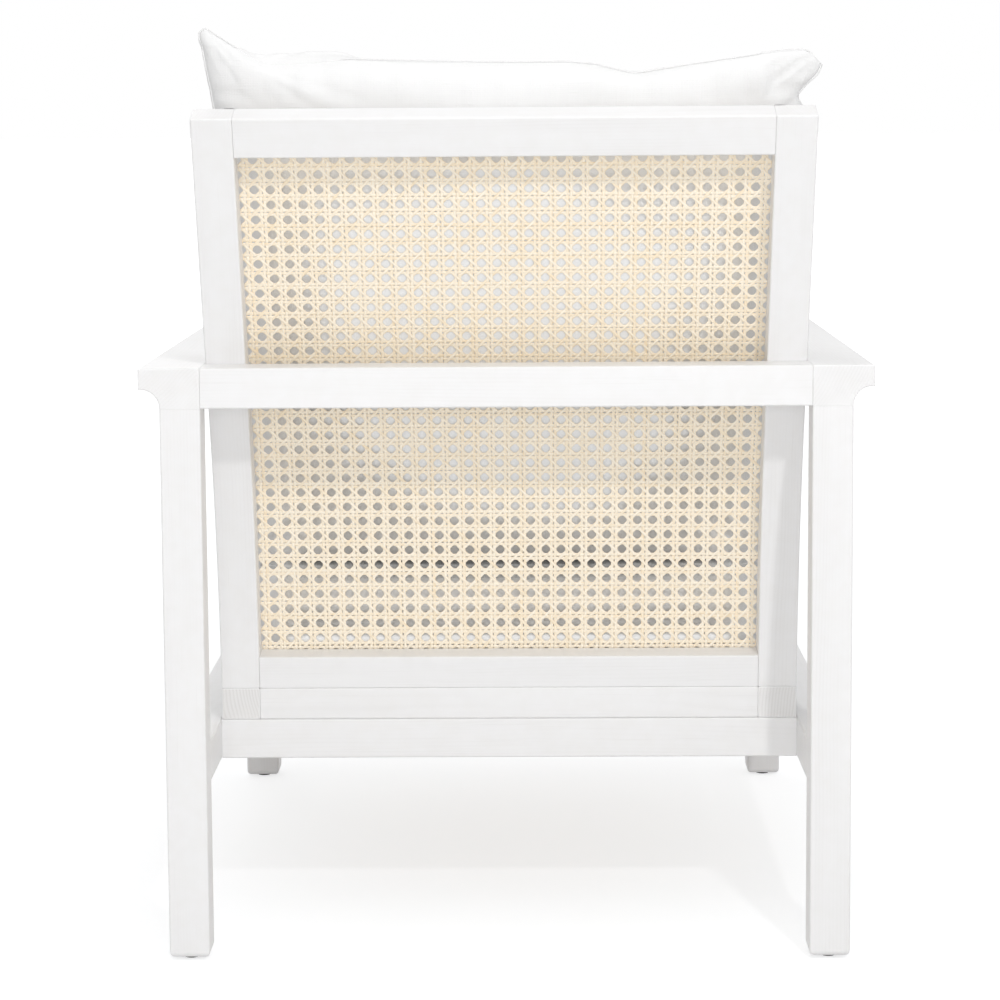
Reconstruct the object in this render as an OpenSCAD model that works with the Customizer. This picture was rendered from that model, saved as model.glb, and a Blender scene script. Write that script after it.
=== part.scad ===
// Armchair with an open wooden frame, a bent back with a cane panel and two loose cushions.
// Millimetres, +Z up. The front faces -Y, and the origin is under the middle of the chair.

/* [Side frames] */
// Clear width between the two side frames
inside_w = 595; // [520:1:700]
// Depth from the front of the front legs to the rear of the rear legs
frame_d = 758; // [720:1:820]
// Width of a leg
leg_w = 40; // [34:1:55]
// Depth of a leg
leg_d = 38; // [32:1:50]
// Radius of the corners under a foot
foot_r = 6; // [2:0.5:9]
// Height of the top of the arms above the floor
arm_top = 592; // [560:1:640]
// Height of an arm over its leg
arm_h = 40; // [34:1:48]
// How far an arm stands out beyond its leg
arm_overhang = 20.5; // [18.5:0.5:30]
// Height of an arm at its outer edge
arm_edge = 21; // [12:1:21]
// Radius of the cove under the outer edge of an arm
arm_cove = 18.5; // [10:0.5:18.5]
// Height of the underside of the low rails above the floor
rail_z = 173; // [140:1:190]
// Height of the low rails and aprons
rail_h = 41; // [34:1:55]
// Thickness of an apron
apron_t = 26; // [22:1:36]
// Depth of the arm-level cross rail along its lower edge
cross_rail_d = 58; // [44:1:66]

/* [Seat frame] */
// Distance from the rear of the rear legs forward to the seat frame
seat_rear_inset = 129.5; // [110:0.5:150]
// Distance from the front of the front legs back to the seat frame
seat_front_inset = 4; // [2:1:20]
// Width of a seat rail
seat_rail_w = 40; // [36:1:50]
// Height of a seat rail
seat_rail_h = 33; // [28:1:45]
// Gap between the seat or back frame and each side frame
frame_gap = 0.5; // [0.3:0.1:1]
// Width of a slat
slat_w = 60; // [40:1:75]
// Thickness of a slat
slat_t = 12; // [10:1:15]
// Width of the cleats that carry the slats
cleat_w = 18; // [15:1:26]
// Height of the cleats
cleat_h = 15; // [12:1:16]
// Length of the short sides of a corner block
block_leg = 46; // [38:1:60]

/* [Back frame] */
// Width of a stile
stile_w = 40; // [36:1:50]
// Thickness of the back frame
back_t = 30; // [26:1:36]
// Height of the top rail along the slope
top_rail_h = 40; // [34:1:60]
// Height of the bottom rail along the slope
bottom_rail_h = 33; // [30:1:55]
// Rake of the straight upper part, in degrees from vertical
back_rake = 20; // [16:0.5:24]
// Rake of the back where it stands on the seat frame
foot_rake = 5; // [3:0.5:8]
// Radius of the bend, at the rear face
bend_r = 1080; // [950:10:1200]
// Length of the straight upper part
back_straight = 330; // [300:1:400]

/* [Cane panel] */
// Pitch of the open net
cane_pitch = 31.3; // [30:0.1:40]
// Side of one opening of the net
cane_hole = 17; // [12:0.5:22]
// Thickness of the panel
cane_t = 1.8; // [1.2:0.1:2.4]
// Width of the rebate that holds the panel
rebate_w = 9; // [8:0.5:12]
// Depth of the rebate in the front of the frame
rebate_d = 3.2; // [3:0.1:5]
// Width of the spline that holds the panel down
spline_w = 5; // [4:0.5:6]
// How far the splines stand proud of the frame
spline_proud = 0.5; // [0.2:0.1:1]
// Clearance round the panel and the splines
cane_gap = 0.3; // [0.2:0.05:0.5]

/* [Seat cushion] */
// Gap between the seat cushion and each side frame
seat_cushion_gap = 4; // [2:1:10]
// Distance from the front of the front legs back to the seat cushion
seat_cushion_inset = 3; // [1:1:20]
// Height of the cushion at its crown
seat_cushion_h = 131; // [110:1:150]
// Height of the cushion at its side seams
seat_cushion_edge_h = 112; // [95:1:125]
// How far the sides of the seat cushion draw in between the corners
seat_cushion_draw = 5; // [2:0.5:10]
// How far the seams stand back from the fullest line of the sides
seat_seam_inset = 5; // [2:0.5:8]
// Thickness of the cover at its thinnest
cover_t = 5; // [3:0.5:9]

/* [Back pillow] */
// Height of the pillow along the back
pillow_h = 544; // [490:1:560]
// Thickness of the pillow
pillow_t = 158; // [120:1:180]
// Distance of the pillow's seam from the back
pillow_seam = 66; // [50:1:90]
// Gap between the pillow and each arm
pillow_gap = 8; // [4:1:16]
// How far the upper corners stand out beyond the lower ones
pillow_flare = 14; // [0:1:24]
// How far the corners stand up beyond the edges
pillow_corner = 16; // [10:1:30]
// How far the sides of the pillow draw in between the corners
pillow_draw = 12; // [4:1:20]
// How far the lower side of the pillow draws in between its corners
pillow_lower_draw = 2; // [1:0.5:6]
// Width of the pillow's filling
filling_w = 420; // [300:5:440]
// Height of the filling along the back
filling_h = 340; // [260:5:360]
// Thickness of the filling
filling_t = 96; // [60:1:100]
// Gap between the pillow and the cane panel
pillow_back_gap = 0.7; // [0.6:0.1:0.9]
// Gap between the pillow's zip and the seat cushion
pillow_rest_gap = 0.4; // [0.3:0.1:0.9]

/* [Fasteners] */
// Diameter of the dowels
dowel_d = 10; // [6:1:12]
// Length of dowel in each of the two pieces
dowel_reach = 20; // [14:1:24]
// Distance between the two dowels of a joint
dowel_pitch = 20; // [16:1:22]
// Distance from a single dowel's axis to the face of its rail
dowel_edge = 10; // [8:1:12]
// Diameter of the dowels in the back frame
back_dowel_d = 8; // [6:1:10]
// Distance between the two dowels of a back frame joint
back_dowel_pitch = 14; // [12:1:16]
// Diameter of the bolts
bolt_d = 6; // [5:1:8]
// Diameter of the bolt heads
bolt_head_d = 12; // [10:1:14]
// Thickness of the bolt heads
bolt_head_t = 4; // [3:0.5:6]
// Depth of bolt thread in the last piece
bolt_reach = 24; // [18:1:28]
// Wood left between a bolt and the end of the nearest dowel
bolt_wall = 8; // [4:1:14]
// Wood left between a bolt head and the rebate of its stile
bolt_head_wall = 1; // [0.5:0.5:6]
// Diameter of the slat screws
screw_d = 4; // [3:0.5:5]
// Diameter of the slat screw heads
screw_head_d = 8; // [7:0.5:10]
// Thickness of the slat screw heads
screw_head_t = 2.5; // [1.5:0.5:4]
// Length of the slat screws
screw_len = 22; // [18:1:24]
// Radial clearance of a dowel, bolt or screw in its hole
pin_gap = 0.05; // [0.02:0.01:0.1]

/* [Glides and pads] */
// Diameter of a glide
glide_d = 18; // [14:1:24]
// Thickness of a glide
glide_h = 3; // [2:0.5:5]
// Diameter of a glide's pin
glide_pin_d = 4; // [3:0.5:5]
// Length of a glide's pin
glide_pin_len = 16; // [12:1:24]
// Length and width of an anti-slip pad
pad_size = 50; // [30:1:60]
// Thickness of an anti-slip pad
pad_t = 2; // [1:0.5:3]
// Width of the zips
zip_w = 7; // [5:0.5:9]
// Thickness of the zips
zip_t = 1.5; // [1:0.1:2]
// Length of the zips
zip_len = 420; // [300:5:480]
// Clearance round soft pieces
soft_gap = 0.3; // [0.3:0.05:0.5]

/* [Hidden] */
$fn = 48;

paint = [0.93, 0.93, 0.92];
beech = [0.85, 0.74, 0.58];
cane = [0.93, 0.86, 0.72];
linen = [0.95, 0.95, 0.94];
foam = [0.93, 0.90, 0.76];
steel = [0.70, 0.71, 0.73];
dark = [0.16, 0.14, 0.13];

// Spare room past the end of a dowel, and the overshoot of every cut
hole_end = 1;
cut = 5;
far = 2000;

// One node each
slat_count = 6;

// Heights
seat_frame_z = rail_z + rail_h;
deck_z = seat_frame_z + seat_rail_h;
arm_z = arm_top - arm_h;
pad_top = deck_z + pad_t;

// Half widths
half_in = inside_w / 2;
half_out = half_in + leg_w;
half_frame = half_in - frame_gap;
half_window = half_frame - stile_w;
half_deck = half_frame - seat_rail_w;

// The back's rear face is an arc that starts at the seat frame and ends in a straight line.
// Distances s run up along it, and distances t stand forward of it.
bend_len = bend_r * (back_rake - foot_rake) * PI / 180;
back_len = bend_len + back_straight;
back_throw = bend_r * (cos(foot_rake) - cos(back_rake)) + back_straight * sin(back_rake);
overhang = max(0, back_throw - seat_rear_inset);
rear_y = (frame_d - overhang) / 2;
front_y = rear_y - frame_d;
seat_rear_y = rear_y - seat_rear_inset;
seat_front_y = front_y + seat_front_inset;
bend_c = [seat_rear_y + bend_r * cos(foot_rake), deck_z - bend_r * sin(foot_rake)];
bend_top = bend_c + bend_r * [-cos(back_rake), sin(back_rake)];

// Y and Z of the point at s and t
function back_pt(s, t) =
    s < bend_len
    ? let (a = foot_rake + s / bend_r * 180 / PI)
        bend_c + (bend_r + t) * [-cos(a), sin(a)]
    : bend_top + (s - bend_len) * [sin(back_rake), cos(back_rake)]
        + t * [-cos(back_rake), sin(back_rake)];

// The s at which the line t stands at height z
function back_s(z, t) =
    let (end_z = bend_top[1] + t * sin(back_rake))
    z < end_z
    ? (asin((z - bend_c[1]) / (bend_r + t)) - foot_rake) * bend_r * PI / 180
    : bend_len + (z - end_z) / cos(back_rake);

// Both aprons stand under the ends of the seat frame
rear_apron_y = seat_rear_y - apron_t;
front_apron_y = seat_front_y;

// The seat's bolts stand inside its dowels, and the back's bolts in its stiles
seat_bolt_x = half_window - dowel_reach - hole_end - bolt_wall - bolt_d / 2;
back_bolt_x = half_window + rebate_w + bolt_head_wall + bolt_head_d / 2;
back_bolt_z = arm_z + arm_h / 2 + (back_t + bolt_reach / 2) * sin(back_rake);

// The deck of slats
deck_front = seat_front_y + seat_rail_w;
deck_rear = seat_rear_y - seat_rail_w;
slat_z = deck_z - slat_t;
slat_gap = (deck_rear - deck_front - slat_count * slat_w) / (slat_count + 1);
function slat_y(k) = deck_front + slat_gap + k * (slat_w + slat_gap);

// A shape drawn in Y and Z, pushed along X from x0 to x1
module along_x(x0, x1) {
    translate([x0, 0, 0]) rotate([90, 0, 90]) linear_extrude(x1 - x0) children();
}

// A shape drawn in X and Z, pushed along Y from y0 to y1
module along_y(y0, y1) {
    translate([0, y1, 0]) rotate([90, 0, 0]) linear_extrude(y1 - y0) children();
}

// A box between two corners
module block(low, high) {
    translate(low) cube(high - low);
}

// A straight pin along X, Y or Z
module pin_x(x0, x1, y, z, r) {
    translate([x0, y, z]) rotate([0, 90, 0]) cylinder(h = x1 - x0, r = r);
}

module pin_z(x, y, z0, z1, r) {
    translate([x, y, z0]) cylinder(h = z1 - z0, r = r);
}

// Both sides of the chair, or the one side named by side = 1 (left, +X) or -1
module both_sides() {
    children();
    mirror([1, 0, 0]) children();
}

module on_side(side) {
    if (side > 0) {
        children();
    } else {
        mirror([1, 0, 0]) children();
    }
}

// The band of the back from s0 to s1 and from t0 to t1, between x0 and x1
module back_band(s0, s1, t0, t1, x0, x1) {
    if (s0 < bend_len) {
        a0 = foot_rake + s0 / bend_r * 180 / PI;
        a1 = foot_rake + min(s1, bend_len) / bend_r * 180 / PI;
        along_x(x0, x1) intersection() {
            translate(bend_c) difference() {
                circle(bend_r + t1, $fn = 720);
                circle(bend_r + t0, $fn = 720);
            }
            polygon([bend_c, bend_c + far * [-cos(a0), sin(a0)], bend_c + far * [-cos(a1), sin(a1)]]);
        }
    }
    if (s1 > bend_len) {
        low = max(s0, bend_len) - bend_len;
        along_x(x0, x1) translate(bend_top) rotate(-back_rake) translate([-t1, low])
            square([t1 - t0, s1 - bend_len - low]);
    }
}

// Dowels and their holes: extra is the hole's clearance, and ends its spare depth
module rail_dowel_row(extra, ends) {
    x = half_out - dowel_edge;
    for (end = [0, 1]) {
        y = end == 0 ? front_y + leg_d : rear_y - leg_d;
        for (k = [-0.5, 0.5]) {
            translate([x, y, rail_z + rail_h / 2 + k * dowel_pitch]) rotate([90, 0, 0])
                cylinder(h = 2 * (dowel_reach + ends), r = dowel_d / 2 + extra, center = true);
        }
    }
}

module arm_dowel_row(extra, ends) {
    for (y = [front_y + leg_d - dowel_edge, rear_y - leg_d + dowel_edge]) {
        for (k = [-0.5, 0.5]) {
            pin_z(half_in + leg_w / 2 + k * dowel_pitch, y, arm_z - dowel_reach - ends,
                arm_z + dowel_reach + ends, dowel_d / 2 + extra);
        }
    }
}

module apron_dowel_row(extra, ends) {
    for (y = [front_apron_y + apron_t / 2, rear_apron_y + apron_t / 2]) {
        for (k = [-0.5, 0.5]) {
            pin_x(half_in - dowel_reach - ends, half_in + dowel_reach + ends, y,
                rail_z + rail_h / 2 + k * dowel_pitch, dowel_d / 2 + extra);
        }
    }
}

module cross_rail_dowel_row(extra, ends) {
    for (k = [-0.5, 0.5]) {
        pin_x(half_in - dowel_reach - ends, half_in + dowel_reach + ends, rear_y - dowel_edge,
            arm_z + arm_h / 2 + k * dowel_pitch, dowel_d / 2 + extra);
    }
}

module seat_dowel_row(extra, ends) {
    for (y = [deck_front - dowel_edge, deck_rear + dowel_edge]) {
        pin_x(half_deck - dowel_reach - ends, half_deck + dowel_reach + ends, y,
            seat_frame_z + seat_rail_h / 2, dowel_d / 2 + extra);
    }
}

module back_dowel_row(extra, ends) {
    for (s = [back_len - top_rail_h / 2, bottom_rail_h / 2]) {
        for (k = [-0.5, 0.5]) {
            p = back_pt(s + k * back_dowel_pitch, (back_t - rebate_d) / 2);
            pin_x(half_window - dowel_reach - ends, half_window + dowel_reach + ends, p[0], p[1],
                back_dowel_d / 2 + extra);
        }
    }
}

// One bolt from its head at z = 0 upwards, to z = top
module bolt(top, extra, ends) {
    translate([0, 0, -ends]) cylinder(h = bolt_head_t + ends, r = bolt_head_d / 2 + extra);
    cylinder(h = top + (extra > 0 ? hole_end : 0), r = bolt_d / 2 + extra);
}

module seat_bolt_row(extra, ends) {
    translate([seat_bolt_x, rear_apron_y + apron_t / 2, rail_z])
        bolt(deck_z + bolt_reach - rail_z, extra, ends);
    translate([seat_bolt_x, front_apron_y + apron_t / 2, rail_z])
        bolt(seat_frame_z + bolt_reach - rail_z, extra, ends);
}

module back_bolt_row(extra, ends) {
    p = back_pt(back_s(back_bolt_z, back_t), back_t);
    translate([back_bolt_x, p[0], p[1]]) rotate([-90 - back_rake, 0, 0])
        bolt(back_t + bolt_reach, extra, ends);
}

// Side frames
module foot_shape(w) {
    translate([foot_r, 0]) square([w - 2 * foot_r, foot_r]);
    translate([0, foot_r]) square([w, arm_z - glide_h - foot_r]);
    for (x = [foot_r, w - foot_r]) {
        translate([x, foot_r]) circle(foot_r);
    }
}

module leg(y) {
    difference() {
        intersection() {
            along_y(y, y + leg_d) translate([half_in, glide_h]) foot_shape(leg_w);
            along_x(half_in, half_out) translate([y, glide_h]) foot_shape(leg_d);
        }
        rail_dowel_row(pin_gap, hole_end);
        arm_dowel_row(pin_gap, hole_end);
        apron_dowel_row(pin_gap, hole_end);
        pin_z(half_in + leg_w / 2, y + leg_d / 2, 0, glide_h + glide_pin_len + hole_end,
            glide_pin_d / 2 + pin_gap);
    }
}

module arm(side) {
    outer = half_out + arm_overhang;
    cove_z = arm_top - arm_edge - arm_cove;
    color(paint) on_side(side) difference() {
        block([half_in, front_y, arm_z], [outer, rear_y, arm_top]);
        translate([half_out + arm_cove, front_y - cut, cove_z]) rotate([-90, 0, 0])
            cylinder(h = frame_d + 2 * cut, r = arm_cove, $fn = 64);
        block([half_out + arm_cove, front_y - cut, arm_z - cut],
            [outer + cut, rear_y + cut, cove_z + arm_cove]);
        block([half_out, front_y - cut, arm_z - cut], [outer + cut, rear_y + cut, cove_z]);
        arm_dowel_row(pin_gap, hole_end);
        cross_rail_dowel_row(pin_gap, hole_end);
    }
}

module rear_leg(side) {
    color(paint) on_side(side) leg(rear_y - leg_d);
}

module front_leg(side) {
    color(paint) on_side(side) leg(front_y);
}

module side_rail(side) {
    color(paint) on_side(side) difference() {
        block([half_in, front_y + leg_d, rail_z], [half_out, rear_y - leg_d, rail_z + rail_h]);
        rail_dowel_row(pin_gap, hole_end);
        apron_dowel_row(pin_gap, hole_end);
    }
}

module apron(y) {
    difference() {
        block([-half_in, y, rail_z], [half_in, y + apron_t, rail_z + rail_h]);
        both_sides() apron_dowel_row(pin_gap, hole_end);
        both_sides() seat_bolt_row(pin_gap, cut);
    }
}

module rear_apron() {
    color(paint) apron(rear_apron_y);
}

module front_apron() {
    color(paint) apron(front_apron_y);
}

// The cross rail's front face follows the back frame that leans on it
module arm_cross_rail() {
    color(paint) difference() {
        block([-half_in, rear_y - cross_rail_d - cut, arm_z], [half_in, rear_y, arm_top]);
        back_band(back_s(arm_z, 0) - leg_d, back_s(arm_top, 0) + leg_d, 0, 3 * back_t,
            -half_in - cut, half_in + cut);
        both_sides() cross_rail_dowel_row(pin_gap, hole_end);
        both_sides() back_bolt_row(pin_gap, cut);
    }
}

// Seat frame
module seat_rail(side) {
    color(paint) on_side(side) difference() {
        block([half_deck, seat_front_y, seat_frame_z], [half_frame, seat_rear_y, deck_z]);
        seat_dowel_row(pin_gap, hole_end);
    }
}

module seat_cross(y) {
    color(paint) difference() {
        block([-half_deck, y, seat_frame_z], [half_deck, y + seat_rail_w, deck_z]);
        both_sides() seat_dowel_row(pin_gap, hole_end);
        both_sides() seat_bolt_row(pin_gap, cut);
    }
}

module seat_rail_rear() {
    seat_cross(deck_rear);
}

module seat_rail_front() {
    seat_cross(seat_front_y);
}

module slat_screw_at(k, extra) {
    y = slat_y(k) + slat_w / 2;
    pin_z(half_deck - cleat_w / 2, y, deck_z - screw_len - (extra > 0 ? hole_end : 0),
        deck_z + (extra > 0 ? cut : 0), screw_d / 2 + extra);
    pin_z(half_deck - cleat_w / 2, y, deck_z - screw_head_t, deck_z + (extra > 0 ? cut : 0),
        screw_head_d / 2 + extra);
}

module cleat(side) {
    color(beech) on_side(side) difference() {
        block([half_deck - cleat_w, deck_front + block_leg, slat_z - cleat_h],
            [half_deck, deck_rear - block_leg, slat_z]);
        for (k = [0:slat_count - 1]) {
            slat_screw_at(k, pin_gap);
        }
    }
}

// A triangle in the corner of the seat frame, under the slats
module corner_block(side, rear) {
    y = rear ? deck_rear : deck_front;
    d = rear ? -1 : 1;
    color(beech) on_side(side) translate([0, 0, slat_z - cleat_h]) linear_extrude(cleat_h)
        polygon([[half_deck, y], [half_deck - block_leg, y], [half_deck, y + d * block_leg]]);
}

module seat_slat(k) {
    color(beech) difference() {
        block([-half_deck + frame_gap, slat_y(k), slat_z], [half_deck - frame_gap, slat_y(k) + slat_w, deck_z]);
        both_sides() slat_screw_at(k, pin_gap);
    }
}

// Back frame: everything below the deck is cut away, so that the stiles stand flat
module frame_band(s0, s1, x0, x1) {
    difference() {
        back_band(s0, s1, 0, back_t, x0, x1);
        back_band(bottom_rail_h - rebate_w, back_len - top_rail_h + rebate_w, back_t - rebate_d,
            back_t + cut, -half_window - rebate_w, half_window + rebate_w);
        block([-far, seat_rear_y - 4 * back_t, deck_z - far], [far, seat_rear_y + 4 * back_t, deck_z]);
        both_sides() back_dowel_row(pin_gap, hole_end);
        both_sides() seat_bolt_row(pin_gap, cut);
    }
}

module back_stile(side) {
    color(paint) on_side(side) difference() {
        frame_band(-back_t / 4, back_len, half_window, half_frame);
        back_bolt_row(pin_gap, cut);
    }
}

module back_top_rail() {
    color(paint) frame_band(back_len - top_rail_h, back_len, -half_window, half_window);
}

module back_bottom_rail() {
    color(paint) frame_band(-back_t / 4, bottom_rail_h, -half_window, half_window);
}

// The panel is a net of square openings that follows the bend of the back
panel_low = bottom_rail_h - rebate_w + cane_gap;
panel_high = back_len - top_rail_h + rebate_w - cane_gap;
panel_half = half_window + rebate_w - cane_gap;
net_cols = floor(2 * half_window / cane_pitch);
net_rows = floor((back_len - top_rail_h - bottom_rail_h) / cane_pitch);
net_low = (panel_low + panel_high - net_rows * cane_pitch) / 2;

function net_x(i) =
    i == 0 ? -panel_half : i == net_cols ? panel_half : (i - net_cols / 2) * cane_pitch;
function net_s(j) = j == 0 ? panel_low : j == net_rows ? panel_high : net_low + j * cane_pitch;

module cane_panel() {
    t = [back_t - rebate_d + cane_gap, back_t - rebate_d + cane_gap + cane_t];
    knots = [for (f = [0, 1]) for (j = [0:net_rows]) for (i = [0:net_cols])
        let (p = back_pt(net_s(j), t[f])) [net_x(i), p[0], p[1]]];
    rims = [for (f = [0, 1]) for (j = [0:net_rows - 1]) for (i = [0:net_cols - 1]) for (c = [0:3])
        let (
            x = (i + 0.5 - net_cols / 2) * cane_pitch + (c == 0 || c == 3 ? -1 : 1) * cane_hole / 2,
            s = net_low + (j + 0.5) * cane_pitch + (c < 2 ? -1 : 1) * cane_hole / 2,
            p = back_pt(s, t[f])
        ) [x, p[0], p[1]]];
    layer = (net_cols + 1) * (net_rows + 1);
    function knot(f, i, j) = f * layer + j * (net_cols + 1) + i;
    function rim(f, i, j, c) = 2 * layer + ((f * net_rows + j) * net_cols + i) * 4 + c;
    function corner(f, i, j, c) = knot(f, i + (c == 1 || c == 2 ? 1 : 0), j + (c > 1 ? 1 : 0));
    // Each side of a cell has two triangles on the rear, two on the front and two in the hole
    cells = [for (j = [0:net_rows - 1]) for (i = [0:net_cols - 1]) for (c = [0:3])
        let (n = (c + 1) % 4)
        each [
            [corner(0, i, j, c), corner(0, i, j, n), rim(0, i, j, n)],
            [corner(0, i, j, c), rim(0, i, j, n), rim(0, i, j, c)],
            [corner(1, i, j, c), rim(1, i, j, n), corner(1, i, j, n)],
            [corner(1, i, j, c), rim(1, i, j, c), rim(1, i, j, n)],
            [rim(0, i, j, c), rim(1, i, j, n), rim(1, i, j, c)],
            [rim(0, i, j, c), rim(0, i, j, n), rim(1, i, j, n)]
        ]];
    low = [for (i = [0:net_cols - 1]) each [
        [knot(0, i, 0), knot(1, i + 1, 0), knot(0, i + 1, 0)],
        [knot(0, i, 0), knot(1, i, 0), knot(1, i + 1, 0)]]];
    high = [for (i = [0:net_cols - 1]) each [
        [knot(0, i, net_rows), knot(0, i + 1, net_rows), knot(1, i + 1, net_rows)],
        [knot(0, i, net_rows), knot(1, i + 1, net_rows), knot(1, i, net_rows)]]];
    right = [for (j = [0:net_rows - 1]) each [
        [knot(0, 0, j), knot(0, 0, j + 1), knot(1, 0, j + 1)],
        [knot(0, 0, j), knot(1, 0, j + 1), knot(1, 0, j)]]];
    left = [for (j = [0:net_rows - 1]) each [
        [knot(0, net_cols, j), knot(1, net_cols, j + 1), knot(0, net_cols, j + 1)],
        [knot(0, net_cols, j), knot(1, net_cols, j), knot(1, net_cols, j + 1)]]];
    color(cane) polyhedron(concat(knots, rims), concat(cells, low, high, right, left), convexity = 10);
}

// Splines lie on the panel's edge in the rebate, and end a little proud of the frame
spline_t0 = back_t - rebate_d + 2 * cane_gap + cane_t;
spline_t1 = back_t + spline_proud;
spline_out = half_window + rebate_w - cane_gap;
spline_low = bottom_rail_h - rebate_w + cane_gap;
spline_high = back_len - top_rail_h + rebate_w - cane_gap;

module spline_side(side) {
    color(cane) on_side(side)
        back_band(spline_low, spline_high, spline_t0, spline_t1, spline_out - spline_w, spline_out);
}

module spline_cross(s0) {
    x = spline_out - spline_w - cane_gap;
    color(cane) back_band(s0, s0 + spline_w, spline_t0, spline_t1, -x, x);
}

// Glides under the four feet
module glide(side, y) {
    color(dark) on_side(side) {
        pin_z(half_in + leg_w / 2, y, 0, glide_h, glide_d / 2);
        pin_z(half_in + leg_w / 2, y, 0, glide_h + glide_pin_len, glide_pin_d / 2);
    }
}

// Fasteners
module side_frame_dowels() {
    color(beech) both_sides() {
        rail_dowel_row(0, 0);
        arm_dowel_row(0, 0);
    }
}

module cross_dowels() {
    color(beech) both_sides() {
        apron_dowel_row(0, 0);
        cross_rail_dowel_row(0, 0);
    }
}

module seat_frame_dowels() {
    color(beech) both_sides() seat_dowel_row(0, 0);
}

module back_frame_dowels() {
    color(beech) both_sides() back_dowel_row(0, 0);
}

module seat_bolts() {
    color(steel) both_sides() seat_bolt_row(0, 0);
}

module back_bolts() {
    color(steel) both_sides() back_bolt_row(0, 0);
}

module slat_screws() {
    color(steel) both_sides() for (k = [0:slat_count - 1]) {
        slat_screw_at(k, 0);
    }
}

module anti_slip_pads() {
    color(dark) both_sides() for (k = [1, slat_count - 2]) {
        translate([half_deck / 2, slat_y(k) + slat_w / 2, deck_z]) translate([-pad_size / 2, -pad_size / 2, 0])
            cube([pad_size, pad_size, pad_t]);
    }
}

// Seat cushion: rings of points from the middle of the underside to the middle of the crown
seat_bottom = pad_top + soft_gap;
seat_top = seat_bottom + seat_cushion_h;
seat_half = half_in - seat_cushion_gap;
seat_cushion_front = front_y + seat_cushion_inset;
seat_cushion_rear = seat_rear_y - back_t - seat_cushion_gap;
seat_mid = (seat_cushion_front + seat_cushion_rear) / 2;
seat_half_d = (seat_cushion_rear - seat_cushion_front) / 2;
seat_points = 40;

// Superellipse outline, with its sides drawn in between the corners
function power(v, p) = sign(v) * pow(abs(v), p);
function seat_outline(k, inset) =
    let (
        a = 360 * (k + 0.5) / seat_points,
        u = power(cos(a), 0.24),
        v = power(sin(a), 0.24),
        x = u * (seat_half - inset - seat_cushion_draw * (1 - v * v)),
        y = v * (seat_half_d - inset - seat_cushion_draw * (1 - u * u))
    ) [x, y];

// Each ring has its share of the outline, its inset from the fullest line and its height
seat_rise = seat_cushion_h - seat_cushion_edge_h;
seat_rings = [
    [0.35, seat_seam_inset, 0], [0.75, seat_seam_inset, 0], [0.95, seat_seam_inset, 1], [1, seat_seam_inset, 7],
    [1, 2, 14], [1, 0, seat_cushion_edge_h * 0.5], [1, 2, seat_cushion_edge_h - 8],
    [1, seat_seam_inset, seat_cushion_edge_h], [0.94, seat_seam_inset, seat_cushion_edge_h + seat_rise * 0.38],
    [0.8, seat_seam_inset, seat_cushion_edge_h + seat_rise * 0.72],
    [0.5, seat_seam_inset, seat_cushion_edge_h + seat_rise * 0.95]
];

module seat_cushion_form() {
    n = seat_points;
    rings = len(seat_rings);
    points = concat(
        [for (r = seat_rings) for (k = [0:n - 1]) let (p = seat_outline(k, r[1]))
            [p[0] * r[0], seat_mid + p[1] * r[0], seat_bottom + r[2]]],
        [[0, seat_mid, seat_bottom], [0, seat_mid, seat_top]]);
    sides = [for (r = [0:rings - 2]) for (k = [0:n - 1]) let (m = (k + 1) % n) each [
        [r * n + k, (r + 1) * n + m, r * n + m],
        [r * n + k, (r + 1) * n + k, (r + 1) * n + m]]];
    bottom = [for (k = [0:n - 1]) [rings * n, k, (k + 1) % n]];
    top = [for (k = [0:n - 1]) [rings * n + 1, (rings - 1) * n + (k + 1) % n, (rings - 1) * n + k]];
    polyhedron(points, concat(sides, bottom, top), convexity = 4);
}

module seat_foam_block(extra) {
    x = seat_half - seat_cushion_draw - seat_seam_inset - cover_t;
    y = seat_half_d - seat_cushion_draw - seat_seam_inset - cover_t;
    block([-x - extra, seat_mid - y - extra, seat_bottom + cover_t - extra],
        [x + extra, seat_mid + y + extra, seat_bottom + seat_cushion_edge_h - cover_t + extra]);
}

module seat_zip_strip(extra) {
    y = seat_mid + seat_half_d - seat_cushion_draw;
    z = seat_bottom + seat_cushion_edge_h / 2;
    block([-zip_len / 2 - extra, y - zip_t - extra, z - zip_w / 2 - extra],
        [zip_len / 2 + extra, y + (extra > 0 ? cut : 0), z + zip_w / 2 + extra]);
}

module seat_cushion_cover() {
    color(linen) difference() {
        seat_cushion_form();
        seat_foam_block(soft_gap);
        seat_zip_strip(soft_gap);
    }
}

module seat_cushion_foam() {
    color(foam) seat_foam_block(0);
}

module seat_cushion_zip() {
    color(linen) seat_zip_strip(0);
}

// Back pillow: two sheets of points that meet in a seam, laid along the bend of the back
pillow_cols = 20;
pillow_rows = 16;
pillow_back = back_t - rebate_d + cane_gap + cane_t + pillow_back_gap;
seam_t = pillow_back + pillow_seam;

// Height of the seat cushion's crown along its middle line, and the seam's height over it
crown_line = [for (k = [len(seat_rings) - 1:-1:0])
    [seat_rings[k][0] * seat_outline(seat_points / 4 - 1, seat_rings[k][1])[1], seat_rings[k][2]]];
crown_rings = 4;
function crown_z(y) = seat_bottom
    + lookup(abs(y - seat_mid), concat([[0, seat_cushion_h]], [for (k = [0:crown_rings - 1]) crown_line[k]]));
function seam_y(z) = back_pt(back_s(z, seam_t), seam_t)[0];
seam_z = crown_z(seam_y(crown_z(seam_y(seat_top)))) + pillow_rest_gap + zip_t + soft_gap
    + zip_w / 2 * sin(back_rake);
pillow_low = back_s(seam_z, seam_t) - pillow_lower_draw;
pillow_mid = pillow_low + pillow_h / 2;
pillow_half = half_in - pillow_gap;

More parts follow.
